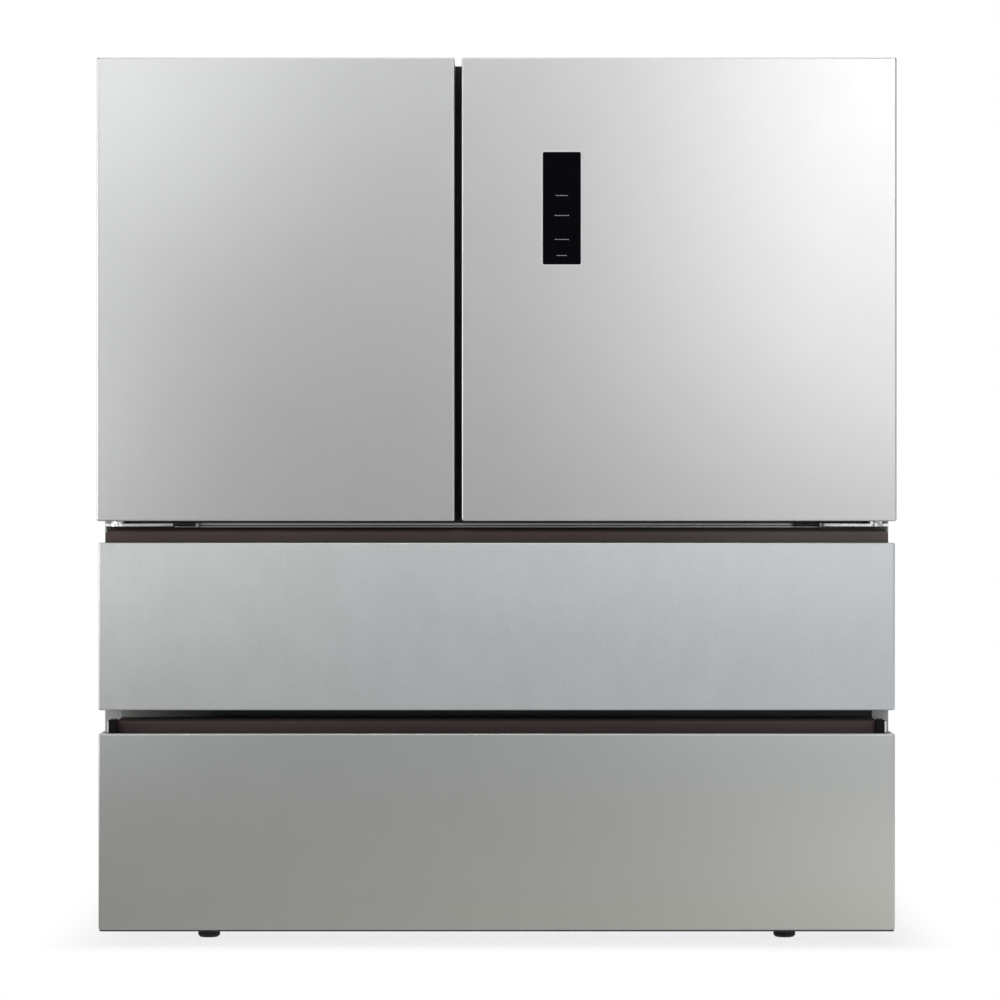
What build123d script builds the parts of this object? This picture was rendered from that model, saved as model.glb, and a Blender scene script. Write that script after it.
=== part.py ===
from build123d import *
import os

# Counter-height refrigerator: two swing doors over two full-width drawers.
# Millimetres. Seen from the front, +X is right, +Y goes to the back and +Z is up.
# The origin is on the floor, under the middle of the object.

# Layout of the fronts
WIDTH = 914.0  # across the two doors
DEPTH = 720.0  # door face to the rear edge of the cabinet
CABINET_INSET = 2.0  # cabinet side inside the door's side
DRAWER_INSET = 2.0  # drawer front's side inside the door's side
FLOOR_GAP = 18.0  # floor to the lower drawer front
LOWER_FRONT_H = 225.0
FRONT_GAP = 26.5  # between the two drawer fronts
UPPER_FRONT_H = 191.5
DOOR_GAP = 24.5  # between the upper drawer front and the doors
DOOR_H = 530.0
TOP_STEP = 2.0  # cabinet top below the door top
SLAB_T = 60.0  # thickness of every front
SEAL_GAP = 12.0  # between a front and the cabinet
RIGHT_DOOR_W = 497.0
SPLIT_GAP = 8.0  # between the doors
FRONT_R = 2.4  # corners of a front, seen from the front
FRONT_EDGE_R = 2.0  # front edges of a front
CORNER_R = 4.0  # corners of brackets, covers and trays
EDGE_R = 3.0  # upper edges of covers and caps

# Sheet, liners and walls
SHEET = 1.0
LINER_T = 2.0
LINER_R = 14.0
SIDE_WALL = 43.0
TOP_WALL = 43.0
BACK_WALL = 50.0
BACK_INSET = 12.0  # back panel inside the cabinet's rear edge
BEADS = 5  # upright stiffening beads on the back panel
BEAD_W = 20.0
BEAD_H = 3.0
BEAD_END = 60.0  # bead's end inside the panel's edge
REAR_FLANGE = 14.0
BASE_Z = 30.0  # underside of the insulated cabinet
BASE_T = 2.0
LOWER_SILL = 42.0  # lower bay floor above the lower front's lower edge
LOWER_BAY_D = 438.0
MACHINE_D = 158.0
MACHINE_H = 220.0
RAIL_LAP = 24.0  # cross rail past the side of an opening
RAIL_RIB_D = 14.0
RAIL_RIB_T = 6.0

# Seals
GASKET_W = 14.0
GASKET_NECK = 8.0
GASKET_LIP = 4.0  # thickness of the foot and of the magnet strip
GASKET_CLEAR = 0.3
GASKET_INSET = 3.0  # from the upper and lower edge of a front
GASKET_FREE = 12.0  # from the free side of a door
GASKET_PAST_PIN = 2.0
LOWER_SEAL_INSET = 27.0  # from the lower edge of the lower front
SEAL_MARGIN = 1.0

# Door hinges
HINGE_SIDE = 22.0  # pin from the door's side
HINGE_DEPTH = 30.0  # pin from the door's face
HINGE_T = 3.0
HINGE_CLEAR = 1.0  # hinge arm above the door's top cap
PIN_R = 4.0
PIN_L = 17.0
RUN_CLEAR = 0.05
PIN_END = 1.5
ARM_R = 9.0
PLATE_W = 72.0
PLATE_D = 50.0
PLATE_SETBACK = 7.0
COVER_H = 10.0
COVER_WALL = 2.5
MID_SIDE = 2.0  # from the cabinet's side
MID_W = 79.0
MID_D = 24.0
MID_DROP = 3.0  # mid hinge below the door's lower edge
MID_FLANGE = 17.0
BUSH_R = 8.0
BUSH_CLEAR = 0.1
STOP_W = 28.0
SCREW_EDGE = 13.0
SCREW_R = 2.4
SCREW_CLEAR = 0.1
HEAD_R = 5.0
HEAD_H = 2.5

# Doors
CAP_H = 26.0
LIP = 5.0  # depth of the skin's upper and lower lip
GRIP_W = 96.0
GRIP_D = 24.0
GRIP_H = 16.0
GRIP_END = 40.0
DIKE_W = 22.0
DIKE_D = 46.0
DIKE_GAP = 10.0  # dike to the fridge's side wall
DIKE_FREE = 25.0  # dike to the mullion
DIKE_END = 22.0
BIN_D = 84.0
BIN_H = 92.0
BIN_WALL = 2.5
BIN_R = 12.0
BIN_CLEAR = 0.4
BIN_RISES = (56.0, 252.0)  # above the fridge floor
LUG_W = 8.0
LUG_H = 7.0
LUG_D = 36.0

# Mullion between the doors
MULLION_W = 76.0
MULLION_D = 44.0
STRIP_W = 30.0
STRIP_T = 2.0

# Control panel on the right door
PANEL_IN = 92.4  # from the door's free side
PANEL_W = 44.0
PANEL_H = 129.0
PANEL_TOP = 108.0  # below the door's top
PANEL_T = 3.0
PANEL_R = 2.0
PANEL_CLEAR = 0.2
HOUSING_D = 18.0
HOUSING_RIM = 3.0

# Drawer handle trims
TRIM_T = 2.0
TRIM_LIP = 8.5  # depth of the skin's upper lip
TRIM_DEPTH = 25.0  # channel below the front's upper edge
TRIM_BACK = 30.0  # channel's rear wall behind the face
TRIM_RISE = 15.5  # trim above the front's upper edge
TRIM_R = 4.0
UPPER_TRIM_INSET = 5.0  # trim's end inside the drawer front's side
LOWER_TRIM_INSET = 20.0
TRIM_CHAMFER = 5.0
END_CAP_W = 10.0
RIDGE_INSET = 14.0

# Drawer runners, baskets
RAIL_H = 45.0
RAIL_T = 1.5
RAIL_W = 10.0
RAIL_CLEAR = 0.25
RAIL_STEP = 1.0  # each member further out than the one around it
RAIL_TOP = 1.0  # fixed member below the bay's rounded corner
RAIL_SET = 3.0  # cabinet members behind the cabinet's front
LEDGE_W = 14.0
UPPER_RAIL_L = 400.0
LOWER_RAIL_L = 330.0
BASKET_WALL = 2.5
BASKET_R = 18.0
BASKET_RIM = 3.0
BASKET_CLEAR = 1.0
BASKET_FRONT = 2.0
BASKET_FLOOR_GAP = 8.0

# Fridge fittings
SHELF_RISES = (236.0, 342.0)
SHELF_T = 4.0
SHELF_FRONT = 92.0  # shelf front behind the cabinet's front
SHELF_FRAME_H = 14.0
SHELF_BAR = 18.0
SHELF_SIDE = 10.0
SHELF_LEDGE = 5.0
SHELF_SPLIT = 8.0
BRACKET_T = 3.0
BRACKET_H = 34.0
LADDER_W = 14.0
LADDER_T = 6.0
LADDER_RISE = 190.0
LADDER_GAP = 7.0  # below the duct cover
LADDER_SLOT_H = 9.0
LADDER_SLOT_PITCH = 22.0
COVER_GLASS_RISE = 150.0
COVER_LEDGE = 12.0
CRISPER_H = 132.0
CRISPER_D = 380.0
CRISPER_WALL = 2.5
CRISPER_SIDE = 24.0  # to the fridge's side wall
CRISPER_FREE = 15.0  # past the mullion's side
CRISPER_LIP_D = 9.0
CRISPER_LIP_H = 16.0
DUCT_W = 300.0
DUCT_H = 58.0
DUCT_T = 14.0
LAMP_W = 200.0
LAMP_D = 70.0
LAMP_T = 7.0

# Cooling
COIL_FINS = 22
COIL_FIN_T = 1.6
COIL_TUBE_R = 4.0
EVAPORATOR_SIDE = 38.0
EVAPORATOR_W = 464.0
EVAPORATOR_H = 112.0
EVAPORATOR_D = 56.0
EVAPORATOR_COVER = 92.0  # cover in front of the bay's back
EVAPORATOR_COVER_T = 3.0
FAN_SIDE = 172.0
FAN_R = 46.0
FAN_HUB_R = 14.0
FAN_W = 13.0
FAN_BLADES = 5
FAN_PITCH = 32.0
FAN_CLEAR = 3.0
SHAFT_R = 3.0
MOTOR_R = 24.0
MOTOR_L = 34.0
COMPRESSOR_SIDE = 219.0  # from the cabinet's left side
COMPRESSOR_R = 66.0
COMPRESSOR_H = 150.0
COMPRESSOR_FOOT = 14.0
COMPRESSOR_CROWN = 40.0
CONDENSER_SIDE = 103.0
CONDENSER_W = 266.0
CONDENSER_D = 104.0
CONDENSER_H = 150.0
CONDENSER_RAISE = 40.0
TRAY_H = 24.0
TRAY_WALL = 2.0
COOLING_FAN_SIDE = 395.0
COOLING_FAN_R = 62.0
COOLING_FAN_Z = 108.0
REAR_COVER_T = 1.5
REAR_COVER_LAP = 4.0
VENT_W = 8.0
VENT_H = 46.0
VENT_PITCH = 26.0
VENT_ROWS = 2
INLET_SIDE = 67.0
INLET_Z = 62.0
INLET_W = 34.0
INLET_H = 26.0
INLET_EDGE = 5.0  # inlet plate past the inlet's flange
COVER_GAP = 0.5  # between the inlet plate and the rear cover

# Base frame, feet and rollers
FRAME_H = 14.0
FRAME_W = 42.0
FOOT_SIDE = 119.0
FOOT_BACK = 23.0  # behind the cabinet's front
FOOT_R = 12.0
FOOT_H = 9.0
FOOT_CHAMFER = 1.5
STEM_R = 5.0
BOSS_R = 9.0
ROLLER_SIDE = 59.0
ROLLER_FRONT = 60.0  # in front of the cabinet's rear edge
ROLLER_R = 22.0
ROLLER_W = 24.0
AXLE_R = 4.0
EAR_T = 2.0
EAR_R = 10.0
EAR_GAP = 1.0
SLOT_CLEAR = 4.0

# Places worked out from the sizes above
X_DOOR = WIDTH / 2
X_CAB = X_DOOR - CABINET_INSET
X_DRAWER = X_DOOR - DRAWER_INSET
X_CAVITY = X_CAB - SIDE_WALL
X_IN = X_CAVITY - LINER_T
Y_FRONT = -DEPTH / 2
Y_SLAB = Y_FRONT + SLAB_T
Y_CAB = Y_SLAB + SEAL_GAP
Y_BACK = DEPTH / 2
Y_PANEL = Y_BACK - BACK_INSET
Y_MACHINE = Y_PANEL - MACHINE_D
Y_CAVITY = Y_PANEL - BACK_WALL
LOWER_Z = (FLOOR_GAP, FLOOR_GAP + LOWER_FRONT_H)
UPPER_Z = (LOWER_Z[1] + FRONT_GAP, LOWER_Z[1] + FRONT_GAP + UPPER_FRONT_H)
DOOR_Z = (UPPER_Z[1] + DOOR_GAP, UPPER_Z[1] + DOOR_GAP + DOOR_H)
Z_TOP = DOOR_Z[1] - TOP_STEP
Z_MACHINE = BASE_Z + MACHINE_H
SILL = GASKET_INSET + GASKET_W + SEAL_MARGIN
RIGHT_X = (X_DOOR - RIGHT_DOOR_W, X_DOOR)
LEFT_X = (-X_DOOR, RIGHT_X[0] - SPLIT_GAP)
SPLIT_X = RIGHT_X[0] - SPLIT_GAP / 2
PANEL_X = RIGHT_X[0] + PANEL_IN + PANEL_W / 2
DRAWER_X = (-X_DRAWER, X_DRAWER)
HINGE_X = X_DOOR - HINGE_SIDE
HINGE_Y = Y_FRONT + HINGE_DEPTH
GASKET_SIDE = HINGE_SIDE + GASKET_PAST_PIN
CAP_TOP = Z_TOP - HINGE_CLEAR
MID_TOP = DOOR_Z[0] - MID_DROP
MULLION_X = (SPLIT_X - MULLION_W / 2, SPLIT_X + MULLION_W / 2)
CAVITY_X = (-X_CAVITY, X_CAVITY)
FRIDGE = (CAVITY_X, (Y_CAB, Y_CAVITY), (DOOR_Z[0] + SILL, Z_TOP - TOP_WALL))
UPPER_BAY = (CAVITY_X, (Y_CAB, Y_CAVITY), (UPPER_Z[0] + SILL, UPPER_Z[1] - SILL))
LOWER_BAY = (CAVITY_X, (Y_CAB, Y_CAB + LOWER_BAY_D), (LOWER_Z[0] + LOWER_SILL, LOWER_Z[1] - SILL))
FRIDGE_FLOOR = FRIDGE[2][0] + LINER_T
FRIDGE_CEILING = FRIDGE[2][1] - LINER_T
FRIDGE_BACK = Y_CAVITY - LINER_T
UPPER_FLOOR = UPPER_BAY[2][0] + LINER_T
MACHINE_Y = (Y_MACHINE + Y_BACK) / 2
UPPER_TRIM_W = 2 * (X_DRAWER - UPPER_TRIM_INSET)
LOWER_TRIM_W = 2 * (X_DRAWER - LOWER_TRIM_INSET)
CRISPER_LEFT_X = (-X_IN + CRISPER_SIDE, MULLION_X[0] - CRISPER_FREE)
CRISPER_RIGHT_X = (MULLION_X[1] + CRISPER_FREE, X_IN - CRISPER_SIDE)
EVAPORATOR_X = (-X_IN + EVAPORATOR_SIDE, -X_IN + EVAPORATOR_SIDE + EVAPORATOR_W)
FAN_X = X_IN - FAN_SIDE
COMPRESSOR_X = -X_CAB + COMPRESSOR_SIDE
CONDENSER_X = (X_CAB - CONDENSER_SIDE - CONDENSER_W, X_CAB - CONDENSER_SIDE)
COOLING_FAN_X = -X_CAB + COOLING_FAN_SIDE
INLET_X = -X_CAB + INLET_SIDE
FOOT_X = X_CAB - FOOT_SIDE
ROLLER_X = X_CAB - ROLLER_SIDE


def span(pair, grow):
    return pair[0] - grow, pair[1] + grow


def ordered(a, b):
    return min(a, b), max(a, b)


def middle(pair):
    return (pair[0] + pair[1]) / 2


def block(x, y, z):
    sizes = [high - low for low, high in (x, y, z)]
    return Pos(middle(x), middle(y), middle(z)) * Box(*sizes)


def bar_x(x, y, z, r):
    return Pos(middle(x), y, z) * Rot(0, 90, 0) * Cylinder(r, x[1] - x[0])


def bar_y(x, y, z, r):
    return Pos(x, middle(y), z) * Rot(90, 0, 0) * Cylinder(r, y[1] - y[0])


def post(x, y, z, r):
    return Pos(x, y, middle(z)) * Cylinder(r, z[1] - z[0])


def prism_x(points, x):
    """A YZ outline pushed along X."""
    plane = Plane((x[0], 0, 0), x_dir=(0, 1, 0), z_dir=(1, 0, 0))
    return extrude(plane * make_face(Polyline(*points, close=True)), x[1] - x[0])


def prism_y(points, y):
    """An XZ outline pushed along Y."""
    plane = Plane((0, y[1], 0), x_dir=(1, 0, 0), z_dir=(0, -1, 0))
    return extrude(plane * make_face(Polyline(*points, close=True)), y[1] - y[0])


def rounded(solid, axis, radius):
    return fillet(solid.edges().filter_by(axis), radius)


def ring(x, y, z, width):
    return block(x, y, z) - block(span(x, -width), span(y, 1), span(z, -width))


def mirrored(shape):
    return mirror(shape, about=Plane.YZ)


def tray(x, y, z, wall, radius):
    """An open-topped moulded box."""
    outer = rounded(block(x, y, z), Axis.Z, radius)
    inner = block(span(x, -wall), span(y, -wall), (z[0] + wall, z[1] + wall))
    return outer - rounded(inner, Axis.Z, radius - wall)


def save(name, *shapes):
    solids = [solid for shape in shapes for solid in shape.solids()]
    export_step(Compound(solids), f"parts/{name}.step")


def cavity(space, shrink=0.0):
    """An insulated space with its rounded long edges, shrunk by a wall on all sides but the front."""
    x, y, z = space
    return rounded(block(span(x, -shrink), (y[0], y[1] - shrink), span(z, -shrink)), Axis.Y, LINER_R - shrink)


def rail_blocks():
    """The zones of the cabinet's face that the three cross rails cover."""
    x = (-X_CAVITY - RAIL_LAP, X_CAVITY + RAIL_LAP)
    y = (Y_CAB, Y_CAB + SHEET)
    zones = (
        (BASE_Z, LOWER_BAY[2][0] + LINER_R),
        (LOWER_BAY[2][1] - LINER_R, UPPER_BAY[2][0] + LINER_R),
        (UPPER_BAY[2][1] - LINER_R, FRIDGE[2][0] + LINER_R),
    )
    return [block(x, y, z) for z in zones]


def front_plate():
    plate = block((-X_CAB, X_CAB), (Y_CAB, Y_CAB + SHEET), (BASE_Z, Z_TOP))
    for space in (FRIDGE, UPPER_BAY, LOWER_BAY):
        plate -= cavity(space)
    return plate


def outer_shell():
    x = (-X_CAB, X_CAB)
    wrap = block(x, (Y_CAB, Y_BACK), (BASE_Z - BASE_T, Z_TOP))
    inside_z = (BASE_Z - BASE_T - 1, Z_TOP - SHEET)
    wrap -= block(span(x, -SHEET), (Y_CAB - 1, Y_BACK - SHEET), inside_z)
    wrap -= block(span(x, -REAR_FLANGE), (Y_BACK - 2 * SHEET, Y_BACK + 1), (inside_z[0], Z_TOP - REAR_FLANGE))
    face = front_plate()
    for zone in rail_blocks():
        face -= zone
    return wrap + face


def cross_rails():
    rails = []
    plate = front_plate()
    for zone in rail_blocks():
        face = plate & zone
        height = middle((zone.bounding_box().min.Z, zone.bounding_box().max.Z))
        rib_z = (height - RAIL_RIB_T / 2, height + RAIL_RIB_T / 2)
        rib_y = (Y_CAB + SHEET, Y_CAB + SHEET + RAIL_RIB_D)
        rails.append(face + block((-X_CAVITY, X_CAVITY), rib_y, rib_z))
    return rails


def insulation_outline(grow):
    """Side outline of the foam, or of the foam with the back panel round it."""
    front = Y_CAB + SHEET
    return (
        (front, BASE_Z),
        (Y_MACHINE - SHEET + grow, BASE_Z),
        (Y_MACHINE - SHEET + grow, Z_MACHINE + SHEET - grow),
        (Y_PANEL - SHEET + grow, Z_MACHINE + SHEET - grow),
        (Y_PANEL - SHEET + grow, Z_TOP - SHEET),
        (front, Z_TOP - SHEET),
    )


def foam_insulation(rails):
    foam = prism_x(insulation_outline(0), (-X_CAB + SHEET, X_CAB - SHEET))
    for space in (FRIDGE, UPPER_BAY, LOWER_BAY):
        foam -= cavity(space)
    for rail in rails:
        foam -= rail
    return foam


def back_panel():
    """Sheet stepped over the machine space, with upright beads pressed into its rear face."""
    x = (-X_CAB + SHEET, X_CAB - SHEET)
    panel = prism_x(insulation_outline(SHEET), x) - prism_x(insulation_outline(0), x)
    z = span((Z_MACHINE, Z_TOP), -BEAD_END)
    pitch = (x[1] - x[0]) / BEADS
    for step in range(BEADS):
        place = Plane((x[0] + (step + 0.5) * pitch, Y_PANEL, middle(z)), x_dir=(0, 0, 1), z_dir=(0, 1, 0))
        bead = extrude(place * SlotOverall(z[1] - z[0], BEAD_W), BEAD_H)
        panel += chamfer(bead.faces().sort_by(Axis.Y)[-1].edges(), BEAD_H * 0.7)
    return panel


def fridge_liner():
    liner = cavity(FRIDGE) - cavity(FRIDGE, LINER_T)
    ledge_y = (Y_CAB + SHELF_FRONT, FRIDGE_BACK)
    top = FRIDGE_FLOOR + COVER_GLASS_RISE
    for x in ((-X_IN, -X_IN + COVER_LEDGE), (X_IN - COVER_LEDGE, X_IN)):
        liner += block(x, ledge_y, (top - COVER_LEDGE, top))
    return liner


def bay_liners():
    return [cavity(bay) - cavity(bay, LINER_T) for bay in (UPPER_BAY, LOWER_BAY)]


def centre_mullion():
    column = block(MULLION_X, (Y_CAB, Y_CAB + MULLION_D), (FRIDGE_FLOOR, FRIDGE_CEILING))
    column = fillet(column.edges().filter_by(Axis.Z).group_by(Axis.Y)[-1], LINER_R)
    strip_x = (SPLIT_X - STRIP_W / 2, SPLIT_X + STRIP_W / 2)
    return column + block(strip_x, (Y_CAB - STRIP_T, Y_CAB), (DOOR_Z[0] + SEAL_MARGIN, Z_TOP))


def base_frame():
    x = (-X_CAB + SHEET, X_CAB - SHEET)
    y = (Y_CAB + SHEET, Y_BACK - 2 * SHEET - REAR_COVER_T)
    low = BASE_Z - BASE_T - FRAME_H
    frame = block(x, y, (BASE_Z - BASE_T, BASE_Z))
    skirt = block(x, y, (low, BASE_Z - BASE_T)) - block(span(x, -BASE_T), span(y, -BASE_T), (low, BASE_Z))
    frame += skirt
    frame += block(x, (y[0] + FRAME_W, y[0] + FRAME_W + BASE_T), (low, BASE_Z))
    for side in (-1, 1):
        foot_y = Y_CAB + FOOT_BACK
        frame += post(side * FOOT_X, foot_y, (low, BASE_Z), BOSS_R)
        frame -= post(side * FOOT_X, foot_y, (low - 1, BASE_Z - BASE_T), STEM_R + RUN_CLEAR)
        frame -= roller_window(side)
        frame += roller_bracket(side)
    return frame


def roller_window(side):
    half = ROLLER_W / 2 + EAR_GAP
    y = Y_BACK - ROLLER_FRONT
    reach = ROLLER_R + SLOT_CLEAR
    x = (side * ROLLER_X - half, side * ROLLER_X + half)
    return block(x, (y - reach, y + reach), (BASE_Z - BASE_T - 1, BASE_Z + 1))


def roller_bracket(side):
    """Two rounded ears under the frame, with the axle riveted between them."""
    y = Y_BACK - ROLLER_FRONT
    inner = ROLLER_W / 2 + EAR_GAP
    centre = side * ROLLER_X
    bracket = bar_x((centre - inner - EAR_T, centre + inner + EAR_T), y, ROLLER_R, AXLE_R)
    for edge in (centre - inner - EAR_T, centre + inner):
        x = (edge, edge + EAR_T)
        bracket += bar_x(x, y, ROLLER_R, EAR_R)
        bracket += block(x, (y - EAR_R, y + EAR_R), (ROLLER_R, BASE_Z - BASE_T))
    return bracket


def roller(side):
    x = side * ROLLER_X
    y = Y_BACK - ROLLER_FRONT
    wheel = bar_x((x - ROLLER_W / 2, x + ROLLER_W / 2), y, ROLLER_R, ROLLER_R)
    wheel = chamfer(wheel.edges().filter_by(GeomType.CIRCLE), FOOT_CHAMFER)
    return wheel - bar_x((x - ROLLER_W, x + ROLLER_W), y, ROLLER_R, AXLE_R + RUN_CLEAR)


def levelling_foot(side):
    x = side * FOOT_X
    y = Y_CAB + FOOT_BACK
    pad = post(x, y, (0, FOOT_H), FOOT_R)
    pad = chamfer(pad.edges().filter_by(GeomType.CIRCLE), FOOT_CHAMFER)
    return pad + post(x, y, (FOOT_H, BASE_Z - BASE_T - 1), STEM_R)


def screw_points():
    """Screw places of the left hinge pair: on the top plate, then on the mid flange."""
    front = Y_CAB + PLATE_SETBACK + SCREW_EDGE
    back = Y_CAB + PLATE_SETBACK + PLATE_D - SCREW_EDGE
    top = [(-HINGE_X, front), (-HINGE_X, back), (plate_x()[1] - SCREW_EDGE, back)]
    mid = [(x, mid_screw_z()) for x in span(mid_x(), -SCREW_EDGE)]
    return top, mid


def mid_x():
    return -X_CAB + MID_SIDE, -X_CAB + MID_SIDE + MID_W


def mid_screw_z():
    return MID_TOP - HINGE_T - MID_FLANGE / 2


def plate_x():
    return -HINGE_X - SCREW_EDGE, -HINGE_X - SCREW_EDGE + PLATE_W


def top_hinge():
    y = (Y_CAB + PLATE_SETBACK, Y_CAB + PLATE_SETBACK + PLATE_D)
    z = (Z_TOP, Z_TOP + HINGE_T)
    plate = rounded(block(plate_x(), y, z), Axis.Z, CORNER_R)
    plate += block((-HINGE_X - ARM_R, -HINGE_X + ARM_R), (HINGE_Y, y[0] + CORNER_R), z)
    plate += post(-HINGE_X, HINGE_Y, z, ARM_R)
    for x, hole_y in screw_points()[0]:
        plate -= post(x, hole_y, span(z, 1), SCREW_R + SCREW_CLEAR)
    pin = post(-HINGE_X, HINGE_Y, (Z_TOP - PIN_L, Z_TOP), PIN_R)
    pin = chamfer(pin.faces().sort_by(Axis.Z)[0].edges(), PIN_END / 2)
    return plate + pin


def hinge_cover():
    x = span(plate_x(), COVER_WALL + SEAL_MARGIN)
    y = (Y_CAB + SEAL_MARGIN, Y_CAB + PLATE_SETBACK + PLATE_D + SEAL_MARGIN + COVER_WALL)
    cover = block(x, y, (Z_TOP, Z_TOP + COVER_H))
    cover = rounded(cover, Axis.Z, CORNER_R)
    cover = fillet(cover.faces().sort_by(Axis.Z)[-1].edges(), EDGE_R)
    cover -= block(span(x, -COVER_WALL), span(y, -COVER_WALL), (Z_TOP - 1, Z_TOP + COVER_H - COVER_WALL))
    arm = ARM_R + SEAL_MARGIN
    slot_z = (Z_TOP - 1, Z_TOP + HINGE_T + SEAL_MARGIN)
    return cover - block((-HINGE_X - arm, -HINGE_X + arm), (y[0] - 1, y[0] + 2 * COVER_WALL), slot_z)


def mid_hinge():
    x = mid_x()
    z = (MID_TOP - HINGE_T, MID_TOP)
    pad = Pos(middle(x), Y_CAB - MID_D / 2) * Rectangle(MID_W, MID_D)
    nose = Pos(-HINGE_X, HINGE_Y) * Circle(ARM_R + HINGE_T)
    hinge = extrude(Pos(0, 0, z[0]) * make_hull(pad.edges() + nose.edges()), HINGE_T)
    flange = block(x, (Y_CAB - HINGE_T, Y_CAB), (z[0] - MID_FLANGE, z[0]))
    for hole_x, hole_z in screw_points()[1]:
        flange -= bar_y(hole_x, (Y_CAB - HINGE_T - 1, Y_CAB + 1), hole_z, SCREW_R + SCREW_CLEAR)
    cap_low = DOOR_Z[0] + SHEET
    bush = post(-HINGE_X, HINGE_Y, (MID_TOP, cap_low - BUSH_CLEAR), BUSH_R)
    pin = post(-HINGE_X, HINGE_Y, (MID_TOP, cap_low + PIN_L), PIN_R)
    pin = chamfer(pin.faces().sort_by(Axis.Z)[-1].edges(), PIN_END / 2)
    return hinge + flange + bush + pin


def hinge_screws():
    top, mid = screw_points()
    screws = []
    for x, y in top:
        head = post(x, y, (Z_TOP + HINGE_T, Z_TOP + HINGE_T + HEAD_H), HEAD_R)
        head = fillet(head.faces().sort_by(Axis.Z)[-1].edges(), HEAD_H / 2)
        screws.append(head + post(x, y, (Z_TOP, Z_TOP + HINGE_T), SCREW_R))
    for x, z in mid:
        face = Y_CAB - HINGE_T
        head = bar_y(x, (face - HEAD_H, face), z, HEAD_R)
        head = fillet(head.faces().sort_by(Axis.Y)[0].edges(), HEAD_H / 2)
        screws.append(head + bar_y(x, (face, Y_CAB), z, SCREW_R))
    return screws + [mirrored(screw) for screw in screws]


def door_stop():
    x = (mid_x()[1], mid_x()[1] + STOP_W)
    stop = block(x, (Y_CAB - MID_D, Y_CAB), (MID_TOP - HINGE_T, DOOR_Z[0] - SEAL_MARGIN))
    return fillet(stop.faces().sort_by(Axis.Y)[0].edges().filter_by(Axis.X), HINGE_CLEAR)


def front_slab(x, z, shrink=0.0):
    """A door or drawer front with rounded corners and a rounded front edge."""
    slab = block(span(x, -shrink), (Y_FRONT + shrink, Y_SLAB), span(z, -shrink))
    slab = rounded(slab, Axis.Y, FRONT_R - shrink)
    return fillet(slab.faces().sort_by(Axis.Y)[0].edges(), FRONT_EDGE_R - shrink)


def gasket(x, z):
    """Foot, bellows neck and magnet strip round the back of a front."""
    strip_y = Y_CAB - GASKET_CLEAR
    neck = (GASKET_W - GASKET_NECK) / 2
    seal = ring(x, (Y_SLAB, Y_SLAB + GASKET_LIP), z, GASKET_W)
    seal += ring(x, (strip_y - GASKET_LIP, strip_y), z, GASKET_W)
    neck_y = (Y_SLAB + GASKET_LIP, strip_y - GASKET_LIP)
    return seal + ring(span(x, -neck), neck_y, span(z, -neck), GASKET_NECK)


def door_gasket(side, x):
    free = x[1] if side < 0 else x[0]
    seal_x = ordered(side * (X_DOOR - GASKET_SIDE), free + side * GASKET_FREE)
    return gasket(seal_x, span(DOOR_Z, -GASKET_INSET))


def panel_block(x_grow, y):
    z_top = DOOR_Z[1] - PANEL_TOP
    x = (PANEL_X - PANEL_W / 2, PANEL_X + PANEL_W / 2)
    plate = block(span(x, x_grow), y, span((z_top - PANEL_H, z_top), x_grow))
    return rounded(plate, Axis.Y, PANEL_R)


def door_skin(side, x):
    skin = front_slab(x, DOOR_Z) - front_slab(x, DOOR_Z, SHEET)
    behind = (Y_FRONT + LIP, Y_SLAB + 1)
    skin -= block(span(x, 1), behind, (CAP_TOP, DOOR_Z[1] + 1))
    skin -= block(span(x, -SHEET), behind, (DOOR_Z[0] - 1, DOOR_Z[0] + SHEET))
    if side > 0:
        skin -= panel_block(PANEL_CLEAR, (Y_FRONT - 1, Y_FRONT + PANEL_T))
    return skin


def cap_bounds():
    """Heights where the lower cap ends and the upper cap starts."""
    return DOOR_Z[0] + SHEET + CAP_H, CAP_TOP - CAP_H


def door_core(side, x):
    core = front_slab(x, DOOR_Z, SHEET) & block(x, (Y_FRONT, Y_SLAB - LINER_T), cap_bounds())
    if side > 0:
        core -= panel_block(PANEL_CLEAR, (Y_FRONT - 1, Y_FRONT + PANEL_T + HOUSING_D))
    return core


def end_caps(side, x):
    low, high = cap_bounds()
    inside = front_slab(x, DOOR_Z, SHEET)
    lower = inside & block(x, (Y_FRONT, Y_SLAB), (DOOR_Z[0], low))
    upper = inside & block(x, (Y_FRONT, Y_SLAB), (high, CAP_TOP))
    depth = PIN_L + PIN_END
    lower_z = (DOOR_Z[0], DOOR_Z[0] + SHEET + depth)
    lower -= post(side * HINGE_X, HINGE_Y, lower_z, PIN_R + RUN_CLEAR)
    upper -= post(side * HINGE_X, HINGE_Y, (CAP_TOP - depth, CAP_TOP + 1), PIN_R + RUN_CLEAR)
    free = x[1] if side < 0 else x[0]
    grip_x = ordered(free + side * GRIP_END, free + side * (GRIP_END + GRIP_W))
    grip_y = (HINGE_Y - GRIP_D / 2, HINGE_Y + GRIP_D / 2)
    grip = rounded(block(grip_x, grip_y, (DOOR_Z[0], DOOR_Z[0] + SHEET + GRIP_H)), Axis.Z, CORNER_R)
    return [lower - grip, upper]


def dike_spans(side):
    outer = ordered(side * (X_IN - DIKE_GAP), side * (X_IN - DIKE_GAP - DIKE_W))
    edge = MULLION_X[0] if side < 0 else MULLION_X[1]
    inner = ordered(edge + side * DIKE_FREE, edge + side * (DIKE_FREE + DIKE_W))
    return sorted((outer, inner))


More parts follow.
